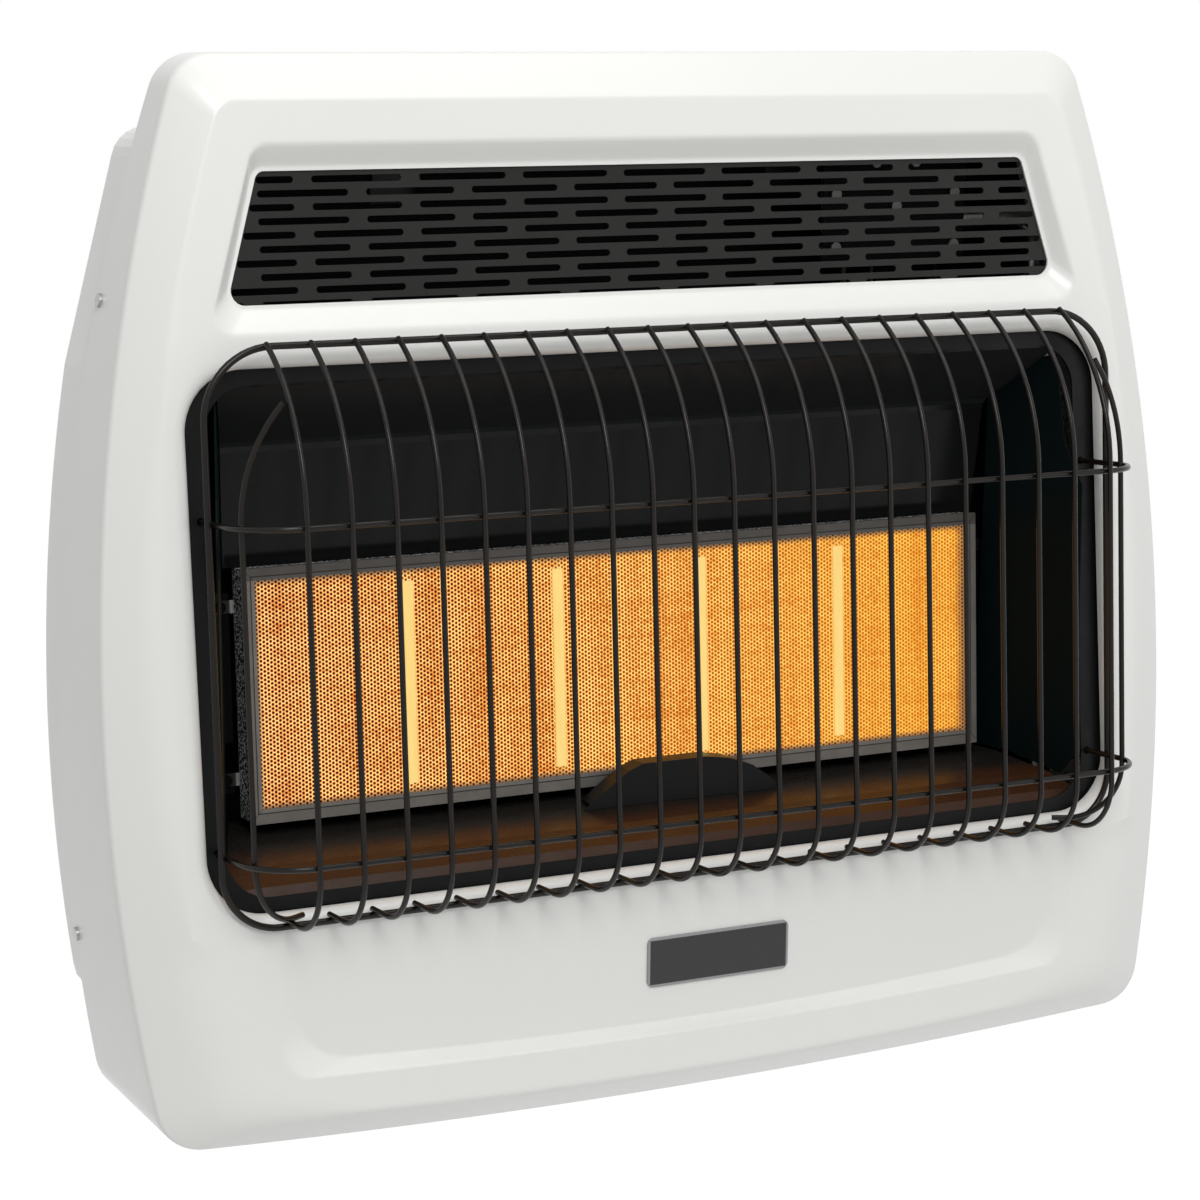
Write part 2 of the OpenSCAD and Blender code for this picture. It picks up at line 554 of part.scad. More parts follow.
module plaque(i) color("orange") on_burner()
    translate([(i - (plaque_n + 1) / 2) * plaque_pitch - plaque_w / 2, -plaque_h / 2, gas_z1])
        cube([plaque_w, plaque_h, plaque_t]);
module plaque_strips() color("khaki") on_burner() for (i = [-1.5 : 1 : 1.5]) {
    translate([i * plaque_pitch - 1.35, -plaque_h / 2, gas_z1]) cube([2.7, plaque_h, plaque_t + 0.1]);
    translate([i * plaque_pitch - 3.5, 13.15 - fh, gas_z1 + plaque_t + 0.02])
        cube([7, frame_h - 24.8, 0.7]);
}
module mixer_tube() color("silver") on_burner()
translate([0, mixer_v, mixer_n]) rotate([0, 90, 0]) difference() {
    union() {
        translate([0, 0, frame_half_w - 22.5]) cylinder(r = 8, h = 64);
        translate([0, 0, frame_half_w + 31.5]) cylinder(r1 = 8, r2 = 13, h = 10);
    }
    translate([0, 0, frame_half_w - 23.5]) cylinder(r = 7, h = 70);
    translate([0, 0, frame_half_w + 32]) cylinder(r1 = 7, r2 = 12.3, h = 10);
}
// brackets bolted to the casing's back panel; they carry the burner by its ears
module burner_brackets() color("silver") both() {
    difference() {
        intersection() {
            on_burner() {
                box([frame_half_w + 1.5, -ear_v - 8, seat_n - 2.6],
                    [frame_half_w + 17.5, ear_v + 8, seat_n - 1.25]);
                box([frame_half_w + 14.3, -ear_v - 8, -60],
                    [frame_half_w + 15.7, ear_v + 8, seat_n - 1.25]);
            }
            box([frame_half_w - 44, -100, -400], [frame_half_w + 55, -back_gap - case_t, -150]);
        }
        on_burner() for (v = [-ear_v, ear_v]) translate([ear_x, v, -50]) cylinder(r = 2.2, h = 40);
        // way for the mixer tube
        on_burner() box([frame_half_w - 1, mixer_v - 8.4, mixer_n - 9],
                        [frame_half_w + 20, mixer_v + 9.5, seat_n + 1]);
    }
    difference() {
        box([frame_half_w + 14.4, -back_gap - case_t - 1.4, -330],
            [frame_half_w + 31.5, -back_gap - case_t, -212]);
        for (z = [-220, -320]) translate([frame_half_w + 22.5, 0, z])
            rotate([90, 0, 0]) cylinder(r = 2.3, h = 14);
    }
}
module burner_screws() color("silver") both() {
    on_burner() for (v = [-ear_v, ear_v]) translate([ear_x, v, seat_n]) {
        cylinder(r = 3.4, h = 2.2);
        translate([0, 0, -8]) cylinder(r = 1.9, h = 8.5);
    }
    for (z = [-220, -320]) translate([frame_half_w + 22.5, -back_gap - case_t - 1.4, z])
    rotate([90, 0, 0]) {
        cylinder(r = 3.6, h = 2.2);
        translate([0, 0, -6]) cylinder(r = 2, h = 6.5);
    }
}

// ---- gas train ---------------------------------------------------------
inj = [gas_x, burner_y + mixer_v * sin(burner_lean) - mixer_n * cos(burner_lean),
       burner_z + mixer_v * cos(burner_lean) + mixer_n * sin(burner_lean)];
module injector() color("goldenrod") {
    translate(inj) rotate([0, -90, 0]) difference() {
        union() {
            translate([0, 0, -7]) cylinder(r = 8, h = 15);
            translate([0, 0, 7]) cylinder(r = 4, h = 9);
        }
        translate([0, 0, 2]) cylinder(r = 1, h = 15);
    }
    translate(inj + [0, 0, 6]) cylinder(r = 6.5, h = 8);
}
module down_tube(y, z_end) {
    r = 20;
    rod([valve_x + 28, y, tube_z], [gas_x - r, y, tube_z], tube_r);
    bend([gas_x - r, y, tube_z - r], [1, 0, 0], [0, 0, 1], r, 0, 90, tube_r);
    rod([gas_x, y, tube_z - r], [gas_x, y, z_end], tube_r);
}
module manifold_tube() color("lightgray") down_tube(inj[1], inj[2] + 14);
module supply_tube() color("lightgray") {
    down_tube(supply_y, reg_z + 20);
    bend([gas_x - 20, supply_y, reg_z + 20], [1, 0, 0], [0, 0, -1], 20, 0, 90, tube_r);
    rod([gas_x - 20, supply_y, reg_z], [reg_x + 31, supply_y, reg_z], tube_r);
}
module inlet_regulator() color("darkgray") difference() {
    union() {
        translate([reg_x, -30, reg_z]) rotate([90, 0, 0]) cylinder(r = 22, h = 34);
        translate([reg_x, -30, reg_z]) rotate([90, 0, 0]) cylinder(r = 24, h = 12);
        translate([reg_x, supply_y, case_bottom - 6]) cylinder(r = 13, h = 20);
        translate([reg_x, supply_y, reg_z]) rotate([0, 90, 0]) cylinder(r = 8, h = 31);
    }
    translate([reg_x, supply_y, case_bottom - 7]) cylinder(r = 7.9, h = 15);
}
module regulator_bracket() color("silver") {
    box([reg_x - 24, -30, -438], [reg_x + 24, -28.6, -393]);
    for (s = [-1, 1]) {
        box([reg_x + s * 23.3 - 0.7, -29, -438], [reg_x + s * 23.3 + 0.7, -back_gap - case_t, -393]);
        box([reg_x + s * 29 - 6.4, -back_gap - case_t - 1.4, -438],
            [reg_x + s * 29 + 6.4, -back_gap - case_t, -393]);
    }
}
module control_valve() color("darkgray") {
    difference() {
        union() {
            box([valve_x - 27, -58.7, -40], [valve_x + 27, -18, 16]);
            translate([valve_x, control_y, 15]) cylinder(r = 9.5, h = 16);
            translate([valve_x + 20, supply_y, tube_z]) rotate([0, 90, 0]) cylinder(r = 7.5, h = 8);
            translate([valve_x + 20, inj[1], tube_z]) rotate([0, 90, 0]) cylinder(r = 7.5, h = 8);
        }
        translate([valve_x, control_y, 8]) cylinder(r = 4 + fit_gap, h = 30);
        for (p = valve_screw_xz) if (abs(p[0]) < 20 && p[1] < 10)
            translate([valve_x + p[0], -70, p[1]]) rotate([-90, 0, 0]) cylinder(r = 1.9, h = 20);
    }
}
valve_screw_xz = [[-42, 4], [42, 4], [-42, -28], [42, -28], [0.5, -4], [-14, 23], [14, 23]];
module valve_bracket() color("darkgray") difference() {
    union() {
        box([valve_x - 50, -60, -40], [valve_x + 50, -58.8, case_top - case_t]);
        box([valve_x - 50, -60, case_top - case_t - 1.2], [valve_x + 50, -49, case_top - case_t]);
    }
    for (p = valve_screw_xz) translate([valve_x + p[0], -55, p[1]])
        rotate([90, 0, 0]) cylinder(r = 2.1, h = 10);
}
module bracket_screws() color("white") for (p = valve_screw_xz)
    translate([valve_x + p[0], -60, p[1]]) rotate([90, 0, 0]) {
        cylinder(r = 3.4, h = 2);
        translate([0, 0, -6]) cylinder(r = 1.8, h = 6.5);
    }
module valve_stem() color("silver") translate([valve_x, control_y, 0]) {
    translate([0, 0, 14]) cylinder(r = 4, h = 46);
    translate([0, 0, 32 + knob_push]) cylinder(r = 5, h = 2);
}
module control_knob() color("black")
translate([valve_x, control_y, case_top + knob_push + 1]) difference() {
    union() {
        cylinder(r = knob_d / 2, h = 4);
        translate([0, 0, 4]) cylinder(r1 = knob_d / 2 - 2, r2 = knob_d / 2 - 4, h = 16);
        translate([-2.5, -knob_d / 2 + 1.5, 4]) cube([5, knob_d - 3, 18]);
    }
    translate([0, 0, -1]) cylinder(r = 4 + 0.05, h = 13);
    translate([0, 0, -1]) cylinder(r = 7, h = 3);
}
module igniter_body() color("dimgray") translate([igniter_x, control_y, 0]) difference() {
    union() {
        translate([0, 0, 8]) cylinder(r = 10, h = case_top - case_t - 8);
        translate([0, 0, 30]) cylinder(r = 7.7, h = case_top + 6 - 30);
    }
    translate([0, 0, 40]) cylinder(r = 5.5 + fit_gap, h = 20);
}
module igniter_nut() color("silver") translate([igniter_x, control_y, case_top]) difference() {
    cylinder(r = 11, h = 3);
    translate([0, 0, -1]) cylinder(r = 7.75, h = 5);
}
module igniter_button() color("crimson") translate([igniter_x, control_y, 0]) {
    translate([0, 0, 40 + button_push + 1]) cylinder(r = 5.5, h = 17);
    translate([0, 0, case_top + 6 + button_push + 1]) cylinder(r = 7.5, h = 3.5);
}
// ---- pilot -------------------------------------------------------------
pilot_xs = [12, 30, 48];
lead_z = [-368, -375, -382];
back_y = -12.2;
module lead(i, top, r) path(concat(top, [[top[0][0], back_y, lead_z[i]], [pilot_xs[i], back_y, lead_z[i]],
    [pilot_xs[i], -70, lead_z[i]], [pilot_xs[i], -70, i < 2 ? -352 : -357]]), r, 4);
module pilot_tube() color("lightgray")
    lead(0, [for (p = [[-22, -40], [-22, -60], [back_y, -60]]) [valve_x - 13, p[0], p[1]]], 2);
module pilot_burner() color("goldenrod") translate([pilot_xs[0], -70, -352]) difference() {
    union() {
        cylinder(r = 4.5, h = 12);
        translate([0, 0, 8]) rotate([0, 90, 0]) cylinder(r = 3.5, h = 14);
        translate([-8, -6, 0]) cube([52, 12, 1.2]);
    }
    translate([6, 0, 8]) rotate([0, 90, 0]) cylinder(r = 2.4, h = 12);
    for (i = [1, 2]) translate([pilot_xs[i] - pilot_xs[0], 0, -2]) cylinder(r = i == 1 ? 2.5 : 3.1, h = 6);
}
module thermocouple() color("peru") {
    lead(1, [for (p = [[-22, -40], [-22, -60], [back_y, -60]]) [valve_x + 7, p[0], p[1]]], 1.2);
    translate([pilot_xs[1], -70, -352.5]) cylinder(r = 2.4, h = 9);
    translate([pilot_xs[1], -70, -344]) cylinder(r = 1.6, h = 7);
}
module spark_electrode() color("white") translate([pilot_xs[2], -70, 0]) {
    translate([0, 0, -357]) cylinder(r = 3, h = 12);
    translate([0, 0, -346]) cylinder(r = 1, h = 5);
    rod([0, 0, -341.4], [-10, 0, -338], 1);
    translate([0, 0, -341.2]) sphere(1);
}
module ignition_lead() color("darkred") path([[igniter_x, -24, 8], [igniter_x, -24, 0],
    [igniter_x, back_y, 0], [igniter_x, back_y, -60], [valve_x + 27, back_y, -60],
    [valve_x + 27, back_y, lead_z[2]], [pilot_xs[2], back_y, lead_z[2]],
    [pilot_xs[2], -70, lead_z[2]], [pilot_xs[2], -70, -357]], 1.4, 4);
hump = [[-42, -354.9], [-36, -350], [-22, -340], [-12, -333.5], [-3, -330], [40, -330], [56, -332.5],
        [72, -338.5], [84, -347], [91, -354.9]];
module pilot_shield() color("black") {
    along_y(-78, -79) polygon(hump);
    difference() {
        along_y(-65.5, -78.5) polygon(hump);
        along_y(-60, -80) polygon(concat([[-40, -356]], [for (p = side_of(hump, -1)) p], [[89, -356]]));
        box([-60, -80, -360], [120, -60, -351.5]);
    }
}

// ---- guard -------------------------------------------------------------
cross_v = [rim_top - 94, rim_bottom + 41.5];
cross_u = rim_half_w - rim_r - cross_r - touch; // the cross wires pass just inside the perimeter wire
cross_br = 34;
up_v = [rim_bottom + 37.2, rim_top - 89.5]; // ends of the uprights' straight part
cross_n = guard_d - wire_r - cross_r - touch;
upper_r = 105.6;
lower_r = 37.2 - rim_r - wire_r - touch - 0.1; // the lower ends run back just above the perimeter wire
corner_u = rim_half_w - 8.9;
corner_n = guard_d - 26.9;
// depth (guard frame) at which a cross wire's hook lies behind the surround
function guard_hook_n(v) = let (y = guard_y + v * sin(guard_lean), z = guard_z + v * cos(guard_lean))
    (y - panel_y(z)) / (cos(guard_lean) + panel_k * sin(guard_lean)) + (sur_n - sur_t - cross_r - 0.3);
function guard_hole_v(v) = let (n = guard_hook_n(v) + 3,
    y = guard_y + v * sin(guard_lean) - n * cos(guard_lean),
    z = guard_z + v * cos(guard_lean) + n * sin(guard_lean))
    (y - panel_y0) * sin(panel_a) + z * cos(panel_a);
module guard_frame() color("black") on_guard() {
    rt = 40;
    rb = 32;
    w = rim_half_w;
    for (s = [-1, 1]) {
        rod([s * w, rim_bottom + rb, 0], [s * w, rim_top - rt, 0], rim_r);
        bend([s * (w - rt), rim_top - rt, 0], [s, 0, 0], [0, 1, 0], rt, 0, 90, rim_r);
        bend([s * (w - rb), rim_bottom + rb, 0], [s, 0, 0], [0, -1, 0], rb, 0, 90, rim_r);
    }
    rod([-(w - rt), rim_top, 0], [w - rt, rim_top, 0], rim_r);
    rod([-(w - rb), rim_bottom, 0], [w - rb, rim_bottom, 0], rim_r);
}
module upright() {
    bend([0, up_v[1], guard_d - upper_r], [0, 0, 1], [0, 1, 0], upper_r, 0, 59.35, wire_r);
    rod([0, up_v[1], guard_d], [0, up_v[0], guard_d], wire_r);
    bend([0, up_v[0], guard_d - lower_r], [0, 0, 1], [0, -1, 0], lower_r, 0, 90, wire_r);
    rod([0, up_v[0] - lower_r, guard_d - lower_r], [0, up_v[0] - lower_r, -0.6], wire_r);
}
module guard_uprights() color("black") on_guard()
    for (i = [0 : wire_n - 1]) translate([(i - (wire_n - 1) / 2) * wire_pitch, 0, 0]) upright();
module guard_cross_wires() color("black") on_guard() for (v = cross_v) {
    h = guard_hook_n(v);
    rod([cross_br - cross_u, v, cross_n], [cross_u - cross_br, v, cross_n], cross_r);
    for (s = [-1, 1]) {
        bend([s * (cross_u - cross_br), v, cross_n - cross_br],
             [s, 0, 0], [0, 0, 1], cross_br, 0, 90, cross_r);
        rod([s * cross_u, v, cross_n - cross_br], [s * cross_u, v, h], cross_r);
        translate([s * cross_u, v, h]) sphere(cross_r);
        rod([s * cross_u, v, h], [s * (cross_u + 7), v, h], cross_r);
    }
}
module guard_corner_wires() color("black") on_guard() for (s = [-1, 1]) {
    // upper end leans in to the outermost upright, lower end to the perimeter wire
    e = unit([-s * 24.4, 0, 7.4]);
    d = unit([-s * 36.4, 0, -25.5]);
    top = [s * corner_u, up_v[1] - 3, corner_n];
    low = [s * corner_u, up_v[0] + 3.5, corner_n];
    tail = low + [0, -34.5, 0] + 34.5 * d;
    rod(top - [0, touch, 0], low + [0, touch, 0], wire_r);
    bend(top + 96 * e, -e, [0, 1, 0], 96, 0.05, 41.9, wire_r);
    bend(low + 34.5 * d, -d, [0, -1, 0], 34.5, 0.1, 89.9, wire_r);
    rod(tail + touch * d, tail + 8.5 * d, wire_r);
    // slightly full knuckles where the wire leaves one plane for another
    for (k = [top, low, tail]) translate(k) sphere(wire_r * 1.08);
}

wall_bracket();
rear_casing();
casing_bottom();
back_panel();
front_cover();
outlet_grille();
cover_screws();
firebox_surround();
surround_screws();
upper_shield();
lower_reflector();
side_shield_left();
side_shield_right();
burner_body();
burner_gasket();
burner_frame();
plaque(1);  // ceramic_plaque_1
plaque(2);  // ceramic_plaque_2
plaque(3);  // ceramic_plaque_3
plaque(4);  // ceramic_plaque_4
plaque(5);  // ceramic_plaque_5
plaque_strips();
mixer_tube();
burner_brackets();
burner_screws();
injector();
manifold_tube();
supply_tube();
inlet_regulator();
regulator_bracket();
control_valve();
valve_bracket();
bracket_screws();
valve_stem();
control_knob();
igniter_body();
igniter_nut();
igniter_button();
ignition_lead();
spark_electrode();
pilot_burner();
pilot_tube();
pilot_shield();
thermocouple();
guard_frame();
guard_uprights();
guard_cross_wires();
guard_corner_wires();
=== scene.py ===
import json
import math
from collections import namedtuple

import bmesh
import bpy
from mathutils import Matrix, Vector
from mathutils.geometry import delaunay_2d_cdt


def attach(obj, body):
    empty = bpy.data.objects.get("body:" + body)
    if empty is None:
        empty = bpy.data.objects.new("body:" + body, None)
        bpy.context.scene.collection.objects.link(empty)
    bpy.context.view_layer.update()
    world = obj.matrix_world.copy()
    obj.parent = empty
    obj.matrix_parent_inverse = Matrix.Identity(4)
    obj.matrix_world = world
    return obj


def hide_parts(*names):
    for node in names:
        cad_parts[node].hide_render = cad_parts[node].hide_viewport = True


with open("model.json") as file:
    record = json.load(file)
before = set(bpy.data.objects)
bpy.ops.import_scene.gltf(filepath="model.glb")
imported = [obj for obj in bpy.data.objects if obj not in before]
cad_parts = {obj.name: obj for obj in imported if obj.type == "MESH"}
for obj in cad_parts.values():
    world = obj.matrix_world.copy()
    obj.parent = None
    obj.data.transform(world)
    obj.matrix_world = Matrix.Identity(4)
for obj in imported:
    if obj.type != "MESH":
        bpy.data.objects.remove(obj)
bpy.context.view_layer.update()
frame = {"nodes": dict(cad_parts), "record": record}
NODES = frame["nodes"]
SLOT_OF = {s["node"]: s["material_slot"] for s in frame["record"]["subparts"]}
SCENE = bpy.context.scene
D = bpy.data
MM = 0.001

# ---------------------------------------------------------------- camera
CAMERA_PLACE = (-0.833, -1.700, 0.094)                  # metres
CAMERA_TILT, CAMERA_TURN = 79.89, -26.3                 # degrees
CAMERA_LENS = 93.7


def make_camera():
    camera = D.objects.new("camera", D.cameras.new("camera"))
    SCENE.collection.objects.link(camera)
    camera.location = CAMERA_PLACE
    camera.rotation_euler = (math.radians(CAMERA_TILT), 0, math.radians(CAMERA_TURN))
    camera.data.lens = CAMERA_LENS
    camera.data.clip_start = 0.05
    SCENE.camera = camera
    SCENE.view_settings.view_transform = "Standard"


# ---------------------------------------------------------------- node maths of a material
class Mat:
    """A material with a short way to write its node maths. Places are the object's own, in metres."""

    SOCKETS = {"color": "Base Color", "rough": "Roughness", "metal": "Metallic", "spec": "Specular IOR Level",
               "coat": "Coat Weight", "coat_rough": "Coat Roughness", "normal": "Normal",
               "glow": "Emission Color", "glow_k": "Emission Strength"}

    def __init__(self, name):
        self.material = D.materials.new(name)
        self.material.use_nodes = True
        self.tree = self.material.node_tree
        self.place = None

    def node(self, kind, **props):
        n = self.tree.nodes.new(kind)
        for key, value in props.items():
            setattr(n, key, value)
        return n

    def put(self, sock, v):
        """Link a node's output to the socket, or set a number or a colour on it."""
        if isinstance(v, bpy.types.NodeSocket):
            self.tree.links.new(v, sock)
        elif isinstance(v, tuple) and sock.type == "RGBA":
            sock.default_value = (*v, 1)
        else:
            sock.default_value = v

    def set(self, **values):
        """Give the shader its values, and return the finished material."""
        shader = self.tree.nodes["Principled BSDF"]
        for key, value in values.items():
            self.put(shader.inputs[self.SOCKETS[key]], value)
        return self.material

    def pos(self):
        if self.place is None:
            self.place = self.node("ShaderNodeTexCoord").outputs["Object"]
        return self.place

    def parts(self, vector):
        n = self.node("ShaderNodeSeparateXYZ")
        self.put(n.inputs[0], vector)
        return n.outputs[0], n.outputs[1], n.outputs[2]

    def xyz(self):
        return self.parts(self.pos())

    def math(self, op, *values):
        n = self.node("ShaderNodeMath", operation=op)
        for sock, value in zip(n.inputs, values):
            self.put(sock, value)
        return n.outputs[0]

    def add(self, a, b):
        return self.math("ADD", a, b)

    def sub(self, a, b):
        return self.math("SUBTRACT", a, b)

    def mul(self, a, b):
        return self.math("MULTIPLY", a, b)

    def min(self, a, b):
        return self.math("MINIMUM", a, b)

    def max(self, a, b):
        return self.math("MAXIMUM", a, b)

    def abs(self, a):
        return self.math("ABSOLUTE", a)

    def noise(self, scale, detail=3, rough=0.5, stretch=(1, 1, 1)):
        mapping = self.node("ShaderNodeMapping")
        self.put(mapping.inputs[0], self.pos())
        mapping.inputs["Scale"].default_value = stretch
        n = self.node("ShaderNodeTexNoise")
        self.put(n.inputs["Vector"], mapping.outputs[0])
        n.inputs["Scale"].default_value = scale
        n.inputs["Detail"].default_value = detail
        n.inputs["Roughness"].default_value = rough
        return n.outputs["Fac"]

    def cells(self, scale):
        """Distance to the middle of the nearest random cell."""
        n = self.node("ShaderNodeTexVoronoi")
        self.put(n.inputs["Vector"], self.pos())
        n.inputs["Scale"].default_value = scale
        return n.outputs["Distance"]

    def ramp(self, fac, *stops):
        """Colour ramp; a stop is a place and a colour, or a place and a grey level."""
        n = self.node("ShaderNodeValToRGB")
        elements = n.color_ramp.elements
        while len(elements) < len(stops):
            elements.new(0.5)
        for element, (at, color) in zip(elements, stops):
            element.position = at
            element.color = (*color, 1) if isinstance(color, tuple) else (color, color, color, 1)
        self.put(n.inputs[0], fac)
        return n.outputs[0]

    def remap(self, v, a, b, c, d, smooth=False):
        """Map a..b to c..d, and hold c and d beyond."""
        n = self.node("ShaderNodeMapRange", interpolation_type="SMOOTHSTEP" if smooth else "LINEAR")
        for sock, value in zip(n.inputs, (v, a, b, c, d)):
            self.put(sock, value)
        return n.outputs[0]

    def step(self, v, start_end):
        """Soft step from 0 to 1."""
        return self.remap(v, *start_end, 0, 1, True)

    def mix(self, fac, a, b):
        n = self.node("ShaderNodeMix", data_type="RGBA")
        for i, value in ((0, fac), (6, a), (7, b)):
            self.put(n.inputs[i], value)
        return n.outputs[2]

    def bump(self, height, strength, dist=0.0003, normal=None):
        n = self.node("ShaderNodeBump")
        n.inputs["Strength"].default_value = strength
        n.inputs["Distance"].default_value = dist
        self.put(n.inputs["Height"], height)
        if normal is not None:
            self.put(n.inputs["Normal"], normal)
        return n.outputs[0]


def scaled(color, k):
    return tuple(min(1, x * k) for x in color)


# ---------------------------------------------------------------- paints, metals and plastics
def enamel(name, base):
    """Baked white enamel with a faint peel and a thin gloss."""
    m = Mat(name)
    color = m.mix(m.noise(7, 2), scaled(base, 0.975), base)
    rough = m.remap(m.noise(60, 3), 0, 1, 0.29, 0.39)
    return m.set(color=color, rough=rough, spec=0.45, coat=0.25, coat_rough=0.15,
                 normal=m.bump(m.noise(900, 2, 0.4), 0.06))


def black(name, base, rough, spec, peel=700, k=0.08, painted_underlight=1):
    """Dark paint; faces that look down get a painted light: their colour is paler by the given factor, in
    place of the light that reaches them from below.
    """
    m = Mat(name)
    color = m.mix(m.noise(25, 4), scaled(base, 0.75), base)
    # painted light: faces that look down are made paler
    if painted_underlight != 1:
        normal_z = m.parts(m.node("ShaderNodeNewGeometry").outputs["Normal"])[2]
        color = m.mix(m.remap(normal_z, -0.2, -0.6, 0, 1), color, scaled(base, painted_underlight))
    return m.set(color=color, rough=m.remap(m.noise(120, 4), 0.3, 0.7, rough * 0.85, rough * 1.2), spec=spec,
                 normal=m.bump(m.noise(peel, 3), k))


def metal(name, base, rough, stretch=(1, 1, 1), scale=300, k=0.08):
    """Bare metal; a larger stretch makes its grain finer along that axis."""
    m = Mat(name)
    grain = m.noise(scale, 4, 0.6, stretch)
    return m.set(color=m.mix(grain, scaled(base, 0.8), scaled(base, 1.12)), metal=1.0,
                 rough=m.remap(grain, 0.2, 0.8, rough * 0.8, rough * 1.25), normal=m.bump(grain, k))


def spangle(name, base, scorch=None):
    """Coated sheet with soft crystal patches; beyond the half width scorch it is burnt black."""
    m = Mat(name)
    color = m.mix(m.remap(m.cells(160), 0, 0.8, 0, 1), scaled(base, 0.86), base)
    shine = 1.0
    if scorch:
        burnt = m.step(m.abs(m.xyz()[0]), (scorch - MM, scorch + MM))
        color = m.mix(burnt, color, (0.008, 0.007, 0.006))
        shine = m.sub(1.0, burnt)
    return m.set(color=color, metal=shine, rough=m.remap(m.noise(40, 3), 0.2, 0.8, 0.30, 0.48),
                 normal=m.bump(m.noise(500, 3), 0.05))


def plastic(name, base, rough, grain=1400, k=0.15):
    """Moulded plastic, rubber or glazed ceramic, with a fine grain."""
    m = Mat(name)
    return m.set(color=m.mix(m.noise(30, 3), scaled(base, 0.85), base),
                 rough=m.remap(m.noise(90, 2), 0, 1, rough - 0.05, rough + 0.05),
                 normal=m.bump(m.noise(grain, 2), k))


def gasket(name):
    """Fibre felt: pale grains over black."""
    m = Mat(name)
    grit = m.cells(640)
    fibre = m.noise(700, 4, 0.7, (1, 1, 3))
    color = m.ramp(m.add(grit, m.remap(fibre, 0.3, 0.7, -0.16, 0.16)),
                   (0.0, 1.0), (0.36, 0.9), (0.50, 0.12), (0.8, 0.01))
    relief = m.bump(grit, 0.8, 0.0012)
    return m.set(color=color, rough=0.8, spec=0.3, normal=m.bump(fibre, 0.9, 0.0012, relief))


def reflector(name):
    """Sheet below the burner: a painted shadow next to the burner, a painted brown reflection of the glow
    further out, with drifting tints.
    """
    m = Mat(name)
    y = m.xyz()[1]
    tint = m.noise(14, 3, 0.5, (1, 2.5, 1))
    # painted shadow of the burner: near black next to it
    burner_shadow = m.step(m.add(y, m.mul(m.sub(tint, 0.5), 0.02)), (-0.098, -0.076))
    # painted reflection of the glow: brown tints further out
    brown = m.mix(tint, (0.026, 0.012, 0.007), (0.056, 0.022, 0.009))
    return m.set(color=m.mix(burner_shadow, brown, (0.011, 0.010, 0.009)), spec=0.15,
                 rough=m.remap(m.noise(70, 3), 0.3, 0.7, 0.22, 0.34), normal=m.bump(m.noise(60, 3), 0.02))


# ---------------------------------------------------------------- burner, in metres; pairs are soft steps
WINDOW_HALF_W = 0.2379                                  # window of the burner's frame
WINDOW_TOP, WINDOW_BOTTOM = -0.20508, -0.33652
# painted highlight along the frame's bevel and painted shade in its crease, both measured outwards from the
# window's edge
BEVEL_END = (0.0020, 0.0023)                            # outwards from the window's edge
CREASE_SHADE_FROM, CREASE_SHADE_TO = (0.0019, 0.0022), (0.0025, 0.0029)
# the frame is darker along its top, above the window
TOP_DARKENING = (-0.2056, -0.2046)                               # along the frame's top

HOLE_PITCH = 0.002415                                   # holes of a plaque, upright
HOLE_COLUMN = 0.00209                                   # from one column of holes to the next
HOLE_EDGE, RIM_EDGE = (0.54, 0.88), (0.90, 1.30)        # millimetres from a hole's middle
GLOW_LEFT, GLOW_RIGHT = -0.24, 0.20                     # the glow is hottest at the right
LIT_BOTTOM, LIT_TOP = (-0.3370, -0.3318), (-0.2050, -0.2105)
LIT_LEFT, LIT_RIGHT = (-0.2385, -0.2335), (0.2385, 0.226)

STRIP_PITCH = 0.096                                     # pale strips between the plaques
STRIP_TOP, STRIP_BOTTOM = -0.2125, -0.3305
STRIP_SIDE, STRIP_END = (0.0026, 0.0036), (0.0, 0.0008)


def burner_grey(name):
    """Stamped frame: dark mitred joints at the corners, a painted highlight on the bevel and a painted shade
    in the crease along the window, darker along its top, soft scale marks.
    """
    m = Mat(name)
    x, _, z = m.xyz()
    out_x = m.sub(m.abs(x), WINDOW_HALF_W)
    out_z = m.max(m.sub(z, WINDOW_TOP), m.sub(WINDOW_BOTTOM, z))
    out = m.max(out_x, out_z)
    marks = m.noise(55, 4, 0.6, (1.2, 1, 1.2))
    fine = m.noise(600, 3, 0.6, (0.25, 1, 1))
    flat = m.mix(marks, (0.100, 0.093, 0.084), (0.195, 0.180, 0.160))
    # painted highlight: the bevel is paler than the flat face
    bevel = m.mix(marks, (0.12, 0.112, 0.10), (0.22, 0.205, 0.185))
    color = m.mix(m.step(out, BEVEL_END), bevel, flat)
    # darker along the frame's top
    color = m.mix(m.remap(z, *TOP_DARKENING, 0, 0.62, True), color, (0.022, 0.019, 0.017))
    # painted shade in the crease along the window; the mitre lines are the dark joints at the corners
    crease = m.mul(m.remap(out, *CREASE_SHADE_FROM, 0, 1), m.remap(out, *CREASE_SHADE_TO, 1, 0))
    mitre = m.mul(m.remap(m.abs(m.sub(out_x, out_z)), 0.0001, 0.0004, 1, 0),
                  m.remap(m.min(out_x, out_z), 0.0, 0.0005, 0, 1))
    return m.set(color=m.mix(m.max(crease, mitre), color, (0.012, 0.011, 0.010)), metal=0.4, spec=0.35,
                 rough=m.remap(fine, 0.2, 0.8, 0.42, 0.6), normal=m.bump(fine, 0.12))


